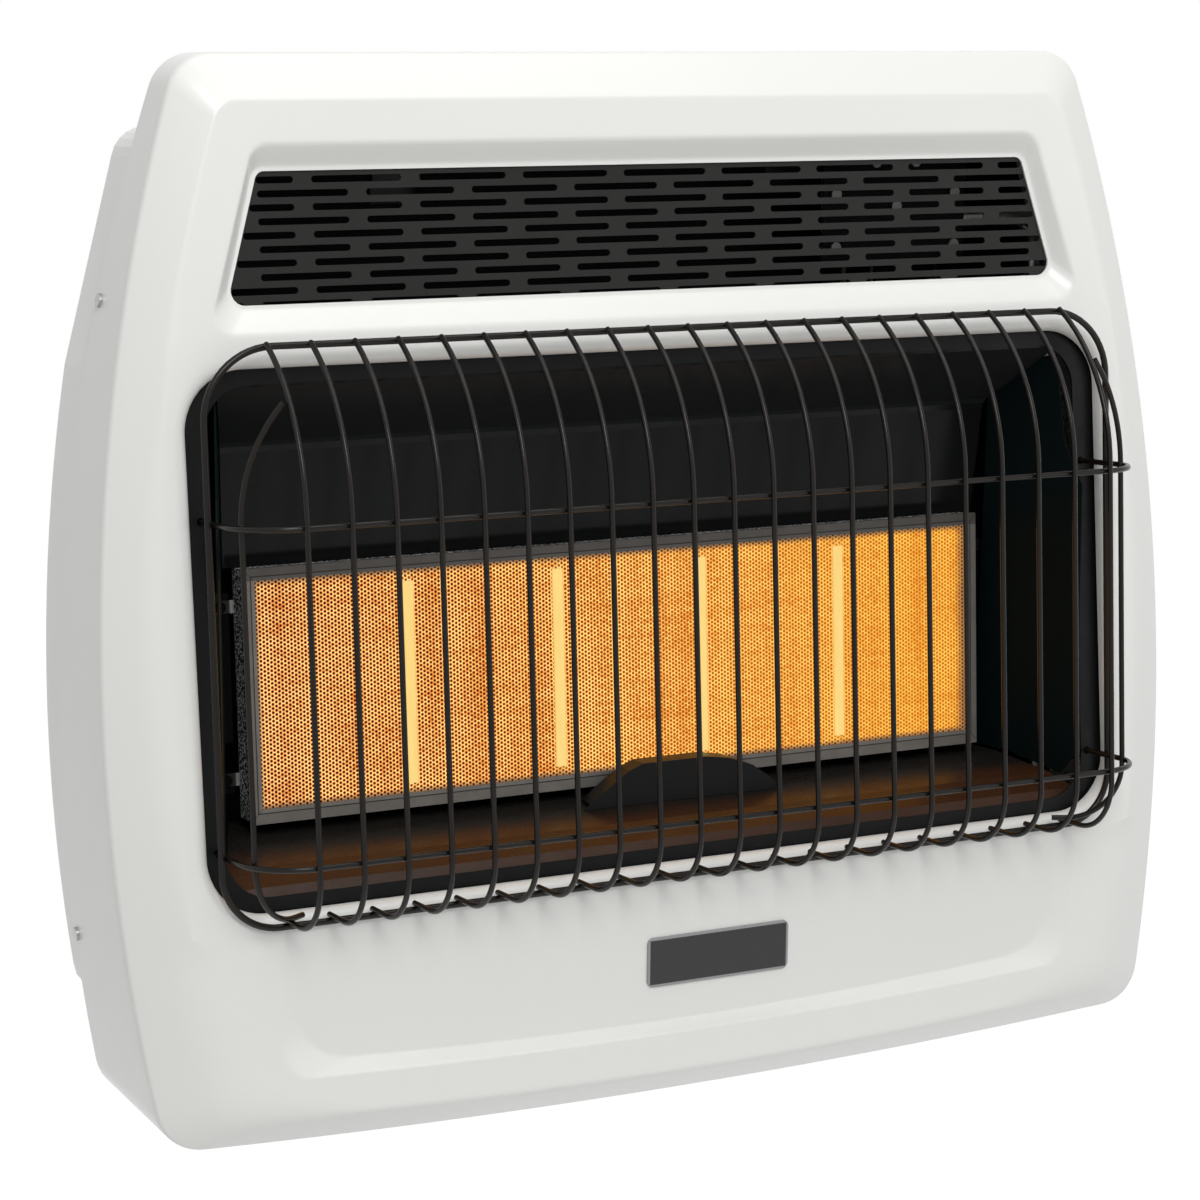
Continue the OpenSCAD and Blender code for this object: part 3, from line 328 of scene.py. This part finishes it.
def from_hole(m, x, z):
    """Millimetres to the middle of the nearest hole; the holes lie in two crossed lattices."""
    def lattice(shift_x, shift_z):
        u = m.math("PINGPONG", m.add(x, shift_x + 1.0), HOLE_COLUMN)
        v = m.math("PINGPONG", m.add(z, shift_z + 1.0), HOLE_PITCH / 2)
        return m.math("SQRT", m.add(m.mul(u, u), m.mul(v, v)))

    return m.mul(m.min(lattice(0, 0), lattice(HOLE_COLUMN, HOLE_PITCH / 2)), 1 / MM)


def ember(m, x, z):
    """Colour of the glowing ceramic and its hole mask: cream lands, orange rims, dark holes."""
    bands = m.noise(30, 2, 0.5, (2.2, 0, 0.15))
    rows = m.noise(60, 1, 0.5, (0.25, 0, 2.0))
    cloud = m.noise(26, 3, 0.55, (1, 0, 1))
    grain = m.noise(360, 2, 0.6, (1, 0, 1))
    drift = m.add(m.add(m.mul(bands, 0.26), m.mul(cloud, 0.08)), m.add(m.mul(rows, 0.16), m.mul(grain, 0.50)))
    heat = m.remap(drift, 0.39, 0.56, 0, 1)
    right = m.remap(x, GLOW_LEFT, GLOW_RIGHT, 0, 1)
    distance = from_hole(m, x, z)
    hole, rim = m.step(distance, HOLE_EDGE), m.step(distance, RIM_EDGE)
    land_cool = m.ramp(right, (0, (0.92, 0.32, 0.06)), (0.5, (1.0, 0.45, 0.06)), (1, (0.98, 0.42, 0.030)))
    land_hot = m.ramp(right, (0, (1.30, 1.08, 0.46)), (0.5, (1.34, 1.08, 0.37)), (1, (1.08, 0.76, 0.15)))
    rim_cool = m.ramp(right, (0, (0.48, 0.08, 0.010)), (1, (0.66, 0.17, 0.014)))
    rim_hot = m.ramp(right, (0, (0.78, 0.21, 0.028)), (0.3, (0.88, 0.28, 0.030)), (1, (0.95, 0.38, 0.028)))
    in_hole = m.ramp(right, (0, (0.004, 0.001, 0.001)), (0.10, (0.010, 0.002, 0.001)),
                     (0.25, (0.050, 0.008, 0.003)), (0.42, (0.13, 0.022, 0.005)),
                     (0.62, (0.34, 0.09, 0.010)), (1, (0.50, 0.16, 0.014)))
    face = m.mix(rim, m.mix(heat, rim_cool, rim_hot), m.mix(heat, land_cool, land_hot))
    # unlit border at the frame
    lit_z = m.min(m.step(z, LIT_BOTTOM), m.step(z, LIT_TOP))
    lit_x = m.min(m.step(x, LIT_RIGHT), m.step(x, LIT_LEFT))
    lit = m.remap(m.add(m.mul(lit_z, lit_x), m.mul(m.sub(cloud, 0.5), 0.4)), 0.0, 0.8, 0.0, 1.0)
    unlit = m.mix(hole, (0.003, 0.002, 0.002), (0.22, 0.12, 0.06))
    return m.mix(lit, unlit, m.mix(hole, in_hole, face)), hole


def plaque(name):
    """Perforated plaque; the holes are dark and a little sunk."""
    m = Mat(name)
    x, _, z = m.xyz()
    glow, hole = ember(m, x, z)
    return m.set(color=m.mix(hole, (0.01, 0.004, 0.002), (0.07, 0.025, 0.010)), rough=0.9, spec=0.05,
                 glow=glow, glow_k=1.06, normal=m.bump(hole, 0.6, 0.0004))


def strip(name):
    """Joint of two plaques: an even bright strip that stops short of the frame, holes beyond its ends."""
    m = Mat(name)
    x, _, z = m.xyz()
    drift = m.noise(60, 4, 0.6, (4, 1, 0.6))
    from_middle = m.math("PINGPONG", m.add(x, STRIP_PITCH / 2), STRIP_PITCH / 2)
    glow = m.mix(drift, (0.86, 0.58, 0.17), (0.99, 0.72, 0.26))
    glow = m.mix(m.remap(from_middle, *STRIP_SIDE, 0, 0.7, True), glow, (0.80, 0.42, 0.10))
    past_end = m.max(m.sub(z, STRIP_TOP), m.sub(STRIP_BOTTOM, z))
    glow = m.mix(m.step(past_end, STRIP_END), glow, ember(m, x, z)[0])
    return m.set(color=(0.12, 0.08, 0.03), rough=0.9, spec=0.05, glow=glow, glow_k=0.98,
                 normal=m.bump(drift, 0.2, 0.0004))


# ---------------------------------------------------------------- materials of the CAD nodes
MATS = {
    "white_enamel": enamel("white_enamel", (0.80, 0.80, 0.775)),
    "grey_sheet": black("grey_sheet", (0.021, 0.021, 0.020), 0.45, 0.15),
    "black_enamel": black("black_enamel", (0.0075, 0.0078, 0.0078), 0.34, 0.12),
    # the gloss black's faces that look down carry a painted light
    "gloss_black": black("gloss_black", (0.0070, 0.0074, 0.0076), 0.15, 0.11, peel=60, k=0.02, painted_underlight=2.4),
    "dark_reflector": reflector("dark_reflector"),
    "aluminised_steel": spangle("aluminised_steel", (0.62, 0.62, 0.60), scorch=0.2455),
    "zinc_steel": spangle("zinc_steel", (0.46, 0.46, 0.45)),
    "bare_steel": metal("bare_steel", (0.6, 0.6, 0.6), 0.3, (1, 1, 8)),
    "fibre_gasket": gasket("fibre_gasket"),
    "burner_frame_grey": burner_grey("burner_frame_grey"),
    "tube_aluminium": metal("tube_aluminium", (0.72, 0.72, 0.72), 0.32, (6, 6, 1)),
    "cast_aluminium": metal("cast_aluminium", (0.55, 0.55, 0.55), 0.5, scale=420, k=0.3),
    "gas_brass": metal("gas_brass", (0.72, 0.50, 0.19), 0.3, scale=200),
    "black_plastic": plastic("black_plastic", (0.018, 0.018, 0.019), 0.5),
    "red_plastic": plastic("red_plastic", (0.45, 0.02, 0.015), 0.3, 900, 0.05),
    "lead_rubber": plastic("lead_rubber", (0.07, 0.010, 0.008), 0.5),
    "white_ceramic": plastic("white_ceramic", (0.80, 0.79, 0.74), 0.45, 500),
    "sensor_copper": metal("sensor_copper", (0.60, 0.30, 0.16), 0.35),
    "guard_black": black("guard_black", (0.008, 0.0066, 0.0050), 0.22, 0.22, peel=1200, k=0.10),
    "glowing_ceramic": plaque("glowing_ceramic"),
    "glowing_strip": strip("glowing_strip"),
}
SOOTY = black("sooty_screw", (0.004, 0.0038, 0.0035), 0.55, 0.04)
DULL = metal("dull_zinc", (0.17, 0.17, 0.166), 0.5)
SATIN = black("satin_black", (0.0030, 0.0066, 0.0072), 0.45, 0.04)
# painted shade: the back panel, valve bracket and wall bracket behind the grille are darkened for the dark
# inside of the casing
SHADE_BLACK = black("shade_black", (0.0040, 0.0044, 0.0046), 0.5, 0.05)
SHADE_DARK_ZINC = metal("shade_dark_zinc", (0.050, 0.050, 0.049), 0.55)
STAINED = metal("stained_tube", (0.16, 0.14, 0.12), 0.45, (6, 6, 1))
# nodes that look different from the rest of their slot; the parts behind the grille carry painted shade
OWN_FINISH = {"burner_screws": SOOTY, "surround_screws": SOOTY, "wall_bracket": SHADE_DARK_ZINC, "bracket_screws": DULL,
              "side_shield_left": SATIN, "side_shield_right": SATIN, "back_panel": SHADE_BLACK,
              "valve_bracket": SHADE_BLACK, "pilot_tube": STAINED, "thermocouple": STAINED}


def smooth(o, angle):
    """Shade smooth, with edges sharper than the angle in degrees kept."""
    for polygon in o.data.polygons:
        polygon.use_smooth = True
    o.data.set_sharp_from_angle(angle=math.radians(angle))


def dress_nodes():
    for name, o in NODES.items():
        o.data.materials.clear()
        o.data.materials.append(OWN_FINISH.get(name, MATS[SLOT_OF[name]]))
        smooth(o, 32)


# ---------------------------------------------------------------- pressed cover, in millimetres
Bow = namedtuple("Bow", "half_w wide_z side_r top bottom bottom_r top_corner low_corner")
Slope = namedtuple("Slope", "y k")                                 # y at z = 0, and its growth with z
Flare = namedtuple("Flare", "half_w z k")                          # half width at z, its growth downwards

CREASE = Bow(319.5, -240, 930, 64, -499, 3700, 14, 24)             # edge of the leaning panel
RIM = Bow(346.17, -275, 1141, 89.25, -515.95, 5600, 26, 28)        # outside of the side walls
PANEL = Slope(-105.2, 0.0883)
RIDGE = Slope(-90.7, 0.0756)                                       # outer edge of the bevel
REAR = Slope(-49.1, -0.0655)                                       # rear edge of the side walls
PANEL_OUT = Vector((0, -1, PANEL.k)).normalized()
SHEET = 1.15

FIRST_RING = 1.2                                                   # inside the crease's bend
CRISP = 1.2                                                        # reach of that bend at the top
SOFTER_DOWN, SOFTER_RIGHT, SOFTER_LOW = 15.0, 2.5, 2.0             # what is added to it elsewhere
SOFTER_FROM, SOFTER_OVER = 40, 380                                 # z where SOFTER_DOWN starts, its way
LOW_EDGE = -400                                                    # below this z the bottom edge takes over
BEND_IN_BEVEL = 0.55                                               # most of the bevel that the bend may take
RIDGE_R = 2.6

OPEN_HALF_W, OPEN_TOP, OPEN_BOTTOM, OPEN_R = 295, -79, -376.5, 34  # firebox opening
LIP_R, LIP_DEPTH, LIP_FLAT = 8, 9.5, 1.6
BESIDE_LIP = (-392, -64)                                           # z where the crease runs beside the lip
LIP_CLEAR = 308.2                                                  # half width that the crease leaves to it

POCKET = Flare(252, 37, 0.3006)                                    # outlet pocket at the panel
POCKET_BOTTOM, POCKET_TOP, POCKET_R, POCKET_DEPTH = -60.2, 40.8, 12, 9.0
POCKET_FLAT, POCKET_SOFT = 3.2, 1.8                                # rings outside its edge
GRILLE = Flare(246, 26.7, 0.289)                                   # window for the grille in its floor
GRILLE_BOTTOM, GRILLE_TOP, GRILLE_LOW_R, GRILLE_TOP_R = -45, 26.7, 8, 5.5
FOOT_OUT, FOOT_IN = 2.4, 1.6                                       # rings outside the window
WALL_FROM, WALL_TO = 0.16, 0.88                                    # straight part of the pocket's wall

HOLLOW_TOP, HOLLOW_K = -391.5, 0.1121                              # lower pocket: its start and its slope
HOLLOW_ROUND = 3.4                                                 # half length of the bend at its start
WALL_SOFT_OUT, WALL_SOFT_IN = 0.16, 0.10                           # bends of its wall, in shares of it
WALL_LINES = (-0.5, -0.22, -0.16, -0.08, 0, 0.08, 0.16, 0.5, 0.82, 0.9, 0.95, 1.0, 1.05, 1.1, 1.18, 1.5)
FLOOR_LINES = (-388.1, -389.5, -390.6, -391.5, -392.4, -393.6, -395, -397, -400, -405, -412, -424, -438, -450)

PIPE_NOTCH = ((205, -72, -530), (245, 0, -490))                    # lowest and highest corner
SCREW_NOTCHES = ((-44, -53), (-405, -29))                          # z and y of the cover's screws
NOTCH_HALF_W, NOTCH_FRONT, NOTCH_BACK, NOTCH_HALF_H = 8, 3.2, 20, 2.5


def on_panel(p, depth=0.0):
    """Point of the leaning panel at x, z, or one behind it."""
    return Vector((p[0], PANEL.y + PANEL.k * p[1], p[1])) - PANEL_OUT * depth


def bez(a, corner, b, t):
    return a * (1 - t) ** 2 + corner * 2 * t * (1 - t) + b * t * t


def blend(a, b, t):
    """Ring between two rings."""
    return [p.lerp(q, t) for p, q in zip(a, b)]


def bent(a, corner, b, steps=4):
    """Rings round a bend, from ring a by its corner to ring b."""
    return [[bez(p, q, r, i / steps) for p, q, r in zip(a, corner, b)] for i in range(steps + 1)]


def arc(centre, r, start, end, steps):
    """Points along an arc, without its last."""
    turns = [start + (end - start) * i / steps for i in range(steps)]
    return [(centre[0] + r * math.cos(a), centre[1] + r * math.sin(a)) for a in turns]


def side_x(bow, z, r=0):
    """Half width at z of the bowed side, moved inwards by r."""
    return bow.half_w - bow.side_r + math.sqrt((bow.side_r - r) ** 2 - (z - bow.wide_z) ** 2)


def bowed(bow, inset=0):
    """Outline with bowed sides and bottom and tangent corners, counterclockwise from mid bottom."""
    def floor_z(x, r):
        return bow.bottom + bow.bottom_r - math.sqrt((bow.bottom_r - r) ** 2 - x * x)

    def angle(p, centre):
        return math.atan2(p[1] - centre[1], p[0] - centre[0])

    top_r, low_r = bow.top_corner, bow.low_corner
    top_c = (side_x(bow, bow.top - top_r, top_r), bow.top - top_r)
    low_x = side_x(bow, floor_z(side_x(bow, bow.bottom + low_r, low_r), low_r), low_r)
    low_c = (low_x, floor_z(low_x, low_r))
    side_c = (bow.half_w - bow.side_r, bow.wide_z)
    floor_c = (0, bow.bottom + bow.bottom_r)
    at_top, at_low, at_floor = angle(top_c, side_c), angle(low_c, side_c), angle(low_c, floor_c)
    right = arc(floor_c, bow.bottom_r - inset, -math.pi / 2, at_floor, 24)
    right += arc(low_c, low_r - inset, at_floor, at_low, 12)
    right += arc(side_c, bow.side_r - inset, at_low, at_top, 60)
    right += arc(top_c, top_r - inset, at_top, math.pi / 2, 12)
    right += [(top_c[0], bow.top - inset)]
    return right + [(-x, z) for x, z in reversed(right[1:])]


def rounded(corners, radii, steps=8):
    """Closed polygon, counterclockwise, with rounded corners of steps + 1 points each."""
    points = []
    for i, (corner, r) in enumerate(zip(corners, radii)):
        corner = Vector(corner)
        before = (Vector(corners[i - 1]) - corner).normalized()
        after = (Vector(corners[(i + 1) % len(corners)]) - corner).normalized()
        half = math.acos(max(-1, min(1, before.dot(after)))) / 2
        centre = corner + (before + after).normalized() * (r / math.sin(half))
        reach = r / math.tan(half)
        start, end = corner + before * reach - centre, corner + after * reach - centre
        for j in range(steps + 1):
            points.append(tuple(centre + start.lerp(end, j / steps).normalized() * r))
    return points


def clamped(share):
    return max(0.0, min(1.0, share))


def crease_reach(x, z):
    """Reach of the crease's bend: crisp along the top, softer down the sides and at the right."""
    softer = SOFTER_DOWN * clamped((SOFTER_FROM - z) / SOFTER_OVER) ** 1.2 + (SOFTER_RIGHT if x > 0 else 0)
    if z < LOW_EDGE:
        return CRISP + SOFTER_LOW + softer * clamped((abs(x) - 215) / 60)
    return CRISP + (softer if abs(x) > 262 else 0)


def shell_rings():
    """Rings from inside the panel's crease over the bevel and down the side wall to the rear edge."""
    columns = []
    inset = 12                                          # any inset gives the direction inwards
    for (x, z), within, (rim_x, rim_z) in zip(bowed(CREASE), bowed(CREASE, inset), bowed(RIM)):
        corner = on_panel((x, z))
        inward = (on_panel(within) - corner).normalized()
        ridge = Vector((rim_x, RIDGE.y + RIDGE.k * rim_z, rim_z))
        rear = Vector((rim_x, REAR.y + REAR.k * rim_z, rim_z))
        bevel = ridge - corner
        near = reach = crease_reach(x, z)
        if BESIDE_LIP[0] < z < BESIDE_LIP[1]:
            near = min(reach, max(0.8, abs(x) - LIP_CLEAR))
        far = min(reach, bevel.length * BEND_IN_BEVEL)
        bevel.normalize()
        start, end = corner + inward * near, corner + bevel * far
        before, after = ridge - bevel * RIDGE_R, ridge + (rear - ridge).normalized() * RIDGE_R
        column = [corner + inward * (near + FIRST_RING), start]
        column += [bez(start, corner, end, t / 6) for t in range(1, 7)]
        column += [end.lerp(before, 0.5)] + [bez(before, ridge, after, t / 5) for t in range(6)]
        column += [after.lerp(rear, 0.12), after.lerp(rear, 0.6), rear]
        columns.append(column)
    return [list(ring) for ring in zip(*columns)]


def pocket_rings():
    """Rings of the outlet pocket, from the panel round its edge and down to the grille's window."""
    def outline(flare, bottom, top, low_r, top_r, grow, depth=0.0):
        low, high = (flare.half_w + flare.k * (flare.z - z) + grow for z in (bottom, top))
        corners = [(-low, bottom - grow), (low, bottom - grow), (high, top + grow), (-high, top + grow)]
        radii = (low_r + grow, low_r + grow, top_r + grow, top_r + grow)
        return [on_panel(p, depth) for p in rounded(corners, radii)]

    def edge(grow):
        return outline(POCKET, POCKET_BOTTOM, POCKET_TOP, POCKET_R, POCKET_R, grow)

    def window(grow):
        return outline(GRILLE, GRILLE_BOTTOM, GRILLE_TOP, GRILLE_LOW_R, GRILLE_TOP_R, grow, POCKET_DEPTH)

    corner, foot = edge(0), window(FOOT_OUT)
    wall_top, wall_foot = blend(corner, foot, WALL_FROM), blend(corner, foot, WALL_TO)
    rings = [edge(POCKET_FLAT)] + bent(edge(POCKET_SOFT), corner, wall_top)
    rings += [blend(wall_top, wall_foot, 0.5)] + bent(wall_foot, foot, window(FOOT_IN))
    return rings + [window(0)]


def lip_rings():
    """Rings of the rolled lip of the firebox opening."""
    lean = math.cos(math.atan(PANEL.k))

    def opening(grow, depth=0.0):
        half_w, low, high = OPEN_HALF_W + grow, OPEN_BOTTOM - grow * lean, OPEN_TOP + grow * lean
        corners = [(-half_w, low), (half_w, low), (half_w, high), (-half_w, high)]
        return [on_panel(p, depth) for p in rounded(corners, (OPEN_R + grow,) * 4, 12)]

    turns = [math.radians(90 * i / 8) for i in range(9)]
    roll = [opening(LIP_R * (1 - math.sin(a)), LIP_R * (1 - math.cos(a))) for a in turns]
    return [opening(LIP_R + LIP_FLAT)] + roll + [opening(0, LIP_DEPTH)]


def hollow_outline(half_w, mid_z, rise, corner, low_side, high_side, top):
    """Outline of the lower pocket from its left top end round to the right one, without its top edge."""
    foot, corner = Vector((half_w, mid_z + rise)), Vector(corner)
    low_side, high_side = Vector(low_side), Vector(high_side)
    right = [(half_w * i / 10, mid_z + rise * (i / 10) ** 2) for i in range(10)]
    right += [tuple(bez(foot, corner, low_side, i / 10)) for i in range(10)]
    right += [tuple(low_side.lerp(high_side, i / 12)) for i in range(12)] + [tuple(high_side), top]
    return [(-x, z) for x, z in reversed(right[1:])] + right


def hollow_depth(z):
    """Depth of the lower pocket's floor behind the panel; it grows downwards after a soft bend."""
    below = HOLLOW_TOP - z
    if below < -HOLLOW_ROUND:
        return 0.0
    if below <= HOLLOW_ROUND:
        below = (below + HOLLOW_ROUND) ** 2 / (4 * HOLLOW_ROUND)
    return HOLLOW_K * below


def wall_share(t):
    """Share of the depth across the lower pocket's wall, with soft bends at its top and foot."""
    if t <= -WALL_SOFT_OUT:
        return 0.0
    if t < WALL_SOFT_OUT:
        return (t + WALL_SOFT_OUT) ** 2 / (4 * WALL_SOFT_OUT)
    if t <= 1 - WALL_SOFT_IN:
        return t
    if t < 1 + WALL_SOFT_IN:
        return 1 - (1 + WALL_SOFT_IN - t) ** 2 / (4 * WALL_SOFT_IN)
    return 1.0


class Plan:
    """Points of the panel in x and z with their depths behind it, and the edges between them."""

    def __init__(self):
        self.points, self.depths, self.edges = [], [], []

    def dots(self, points, depths):
        self.points += [Vector(p) for p in points]
        self.depths += depths

    def line(self, points, depths):
        start = len(self.points)
        self.dots(points, depths)
        self.edges += [(i, i + 1) for i in range(start, len(self.points) - 1)]

    def loop(self, points):
        """Closed line on the panel itself; returns the numbers of its points."""
        start = len(self.points)
        self.line(points, [0.0] * len(points))
        self.edges += [(len(self.points) - 1, start)]
        return range(start, len(self.points))


def add_hollow(plan):
    """Lines along the lower pocket's wall, and dots over its floor."""
    outer = hollow_outline(240, -475.4, 6.1, (254.5, -469.2), (258.5, -452), (267.6, -397), (268.2, -388))
    inner = hollow_outline(214, -470.6, 7.1, (240.5, -462.6), (249.0, -436), (261.4, -397), (262.6, -388))
    for t in WALL_LINES:
        line = [(p[0] + (q[0] - p[0]) * t, p[1] + (q[1] - p[1]) * t) for p, q in zip(outer, inner)]
        plan.line(line, [hollow_depth(z) * wall_share(t) for x, z in line])
    for z in FLOOR_LINES:
        half_w = 250.9 - 0.34 * max(0, -397 - z) - (0 if z > -440 else 14)      # keeps off the wall
        plan.dots([(half_w * i / 14, z) for i in range(-14, 15)], [hollow_depth(z)] * 29)


def inside(p, polygon):
    within = False
    for (x1, z1), (x2, z2) in zip(polygon, polygon[1:] + polygon[:1]):
        if (z1 > p.y) != (z2 > p.y) and p.x < (x2 - x1) * (p.y - z1) / (z2 - z1) + x1:
            within = not within
    return within


def cover_mesh():
    """The panel as one triangulated sheet with the lower pocket pressed in, and the rings joined to it."""
    parts = [shell_rings(), pocket_rings(), lip_rings()]
    rim, *holes = borders = [[(p.x, p.z) for p in rings[0]] for rings in parts]
    plan = Plan()
    loops = [plan.loop(border) for border in borders]
    add_hollow(plan)
    points, _, faces, sources, _, _ = delaunay_2d_cdt(plan.points, plan.edges, [], 0, 1e-5)
    bm = bmesh.new()
    verts, vert_of = [], {}
    for p, source in zip(points, sources):
        depth = plan.depths[source[0]] if source else 0.0
        verts.append(bm.verts.new(Vector((p.x, PANEL.y + PANEL.k * p.y + depth, p.y)) * MM))
        vert_of.update((i, verts[-1]) for i in source)
    for face in faces:
        middle = sum((points[i] for i in face), Vector((0, 0))) / len(face)
        if inside(middle, rim) and not any(inside(middle, hole) for hole in holes):
            bm.faces.new([verts[i] for i in face])
    for loop, rings in zip(loops, parts):
        last = [vert_of[i] for i in loop]
        for ring in rings[1:]:
            last = join_ring(bm, last, [bm.verts.new(p * MM) for p in ring])
    bmesh.ops.delete(bm, geom=[v for v in bm.verts if not v.link_faces], context="VERTS")
    bmesh.ops.recalc_face_normals(bm, faces=bm.faces)
    front = min(bm.faces, key=lambda f: f.calc_center_median().y)
    if front.normal.y > 0:
        bmesh.ops.reverse_faces(bm, faces=bm.faces)
    return bm


def join_ring(bm, a, b):
    """Faces between two closed rings of vertices; returns the second."""
    for i in range(len(a)):
        k = (i + 1) % len(a)
        bm.faces.new((a[i], a[k], b[k], b[i]))
    return b


def new_object(name, bm):
    mesh = D.meshes.new(name)
    bm.to_mesh(mesh)
    bm.free()
    o = D.objects.new(name, mesh)
    SCENE.collection.objects.link(o)
    return o


def new_piece(name, bm, material, sharp):
    """Piece of the heater's body with its material."""
    o = new_object(name, bm)
    o.data.materials.append(material)
    smooth(o, sharp)
    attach(o, "heater")
    return o


def new_cutter(low, high):
    """Block between two corners."""
    bm = bmesh.new()
    bmesh.ops.create_cube(bm, size=1)
    for v in bm.verts:
        v.co = Vector([low[i] + (high[i] - low[i]) * (v.co[i] + 0.5) for i in range(3)]) * MM
    return new_object("cut", bm)


def make_cover():
    """The cover as a sheet of its real thickness, with its notches cut."""
    cover = new_piece("cover_shell", cover_mesh(), MATS["white_enamel"], 50)
    sheet = cover.modifiers.new("sheet", "SOLIDIFY")
    sheet.thickness = SHEET * MM
    sheet.offset = -1
    cutters = [new_cutter(*PIPE_NOTCH)]
    for z, y in SCREW_NOTCHES:
        for x in (-side_x(RIM, z), side_x(RIM, z)):
            cutters.append(new_cutter((x - NOTCH_HALF_W, y - NOTCH_FRONT, z - NOTCH_HALF_H),
                                      (x + NOTCH_HALF_W, y + NOTCH_BACK, z + NOTCH_HALF_H)))
    for cutter in cutters:
        cut = cover.modifiers.new("cut", "BOOLEAN")
        cut.operation = "DIFFERENCE"
        cut.solver = "EXACT"
        cut.object = cutter
    cut_mesh = D.meshes.new_from_object(cover.evaluated_get(bpy.context.evaluated_depsgraph_get()))
    cover.modifiers.clear()
    cover.data = cut_mesh
    for cutter in cutters:
        mesh = cutter.data
        D.objects.remove(cutter)
        D.meshes.remove(mesh)
    smooth(cover, 50)
    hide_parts("front_cover")


# ---------------------------------------------------------------- blank plate, in millimetres
PLATE_X, PLATE_Z = (-31, 63), (-449, -419)
PLATE_R, PLATE_T, PLATE_BEVEL = 4, 1.6, 0.5
PLATE_BED = Slope(-148.86, -0.02375)                    # the lower pocket's floor under it
PLATE_SUNK = 0.02
PLATE_EDGE = 1.8                                        # width of its pale border


def plate_finish(name):
    """Dark satin face with a pale border along the plate's edge."""
    m = Mat(name)
    x, _, z = m.xyz()
    past = []
    for axis, (low, high) in ((x, PLATE_X), (z, PLATE_Z)):
        from_middle = m.abs(m.sub(axis, (low + high) / 2 * MM))
        past.append(m.sub(from_middle, ((high - low) / 2 - PLATE_EDGE) * MM))
    face = m.mix(m.noise(900, 2), (0.028, 0.028, 0.029), (0.038, 0.038, 0.038))
    color = m.mix(m.step(m.max(*past), (0.0, 0.0004)), face, (0.30, 0.30, 0.30))
    return m.set(color=color, rough=0.4, spec=0.3, normal=m.bump(m.noise(1500, 2), 0.1, 0.0002))


def make_plate():
    """Flat plate with a chamfered face, glued to the lower pocket's floor."""
    out = Vector((0, -1, PLATE_BED.k)).normalized()
    profile = ((0, -PLATE_SUNK), (0, PLATE_T - PLATE_BEVEL),
               (PLATE_BEVEL * 0.3, PLATE_T - PLATE_BEVEL * 0.3), (PLATE_BEVEL, PLATE_T))
    bm = bmesh.new()
    rings = []
    for inset, height in profile:
        (x0, x1), (z0, z1) = ((low + inset, high - inset) for low, high in (PLATE_X, PLATE_Z))
        outline = rounded([(x0, z0), (x1, z0), (x1, z1), (x0, z1)], (PLATE_R - inset,) * 4, 6)
        bed = [Vector((x, PLATE_BED.y + PLATE_BED.k * z, z)) for x, z in outline]
        rings.append([bm.verts.new((p + out * height) * MM) for p in bed])
    for a, b in zip(rings, rings[1:]):
        join_ring(bm, a, b)
    bm.faces.new(rings[-1])
    bm.faces.new(list(reversed(rings[0])))
    bmesh.ops.recalc_face_normals(bm, faces=bm.faces)
    new_piece("blank_plate", bm, plate_finish("blank_plate"), 20)


# ---------------------------------------------------------------- stage and light, in metres
FLOOR_Z, FLOOR_SIZE, FLOOR_GLOW = -1.6, 30, 0.62
WORLD_LIGHT = 0.395


def seen(tree):
    """1 for camera, glossy and transmission rays, 0 for the rest."""
    path = tree.nodes.new("ShaderNodeLightPath")
    out = path.outputs["Is Camera Ray"]
    for kind in ("Is Glossy Ray", "Is Transmission Ray"):
        n = tree.nodes.new("ShaderNodeMath")
        n.operation = "ADD"
        n.use_clamp = True
        tree.links.new(out, n.inputs[0])
        tree.links.new(path.outputs[kind], n.inputs[1])
        out = n.outputs[0]
    return out


def make_floor():
    """Pale floor; seen directly it is white, and it still takes the object's shadow."""
    bm = bmesh.new()
    bmesh.ops.create_grid(bm, x_segments=1, y_segments=1, size=FLOOR_SIZE)
    floor = new_object("floor", bm)
    floor.location = (0, 0, FLOOR_Z)
    m = Mat("floor")
    m.set(color=(0.9, 0.9, 0.9), rough=0.8, spec=0.1, glow=(1, 1, 1), glow_k=m.mul(seen(m.tree), FLOOR_GLOW))
    floor.data.materials.append(m.material)


def make_world():
    """White where it is seen, and a plain even light elsewhere."""
    world = D.worlds.new("studio")
    SCENE.world = world
    world.use_nodes = True
    tree = world.node_tree
    background = tree.nodes["Background"]
    background.inputs[0].default_value = (1, 1, 1, 1)
    strength = tree.nodes.new("ShaderNodeMapRange")
    strength.inputs["To Min"].default_value = WORLD_LIGHT
    strength.inputs["To Max"].default_value = 1.0
    tree.links.new(seen(tree), strength.inputs[0])
    tree.links.new(strength.outputs[0], background.inputs[1])


def area(name, place, target, size, power):
    light = D.lights.new(name, "AREA")
    light.shape = "RECTANGLE"
    light.size, light.size_y = size
    light.energy = power
    o = D.objects.new(name, light)
    SCENE.collection.objects.link(o)
    o.location = place
    o.rotation_euler = (Vector(target) - Vector(place)).to_track_quat("-Z", "Y").to_euler()


make_camera()
dress_nodes()
make_cover()
make_plate()
make_floor()
make_world()
area("key", (-0.75, -2.7, 1.8), (0, -0.1, -0.2), (1.2, 1.2), 45.5)
area("top", (0.2, -0.9, 2.1), (0, -0.1, -0.1), (1.8, 1.4), 20)
area("fill", (2.4, -2.2, 0.2), (0, -0.1, -0.2), (1.6, 1.6), 8)
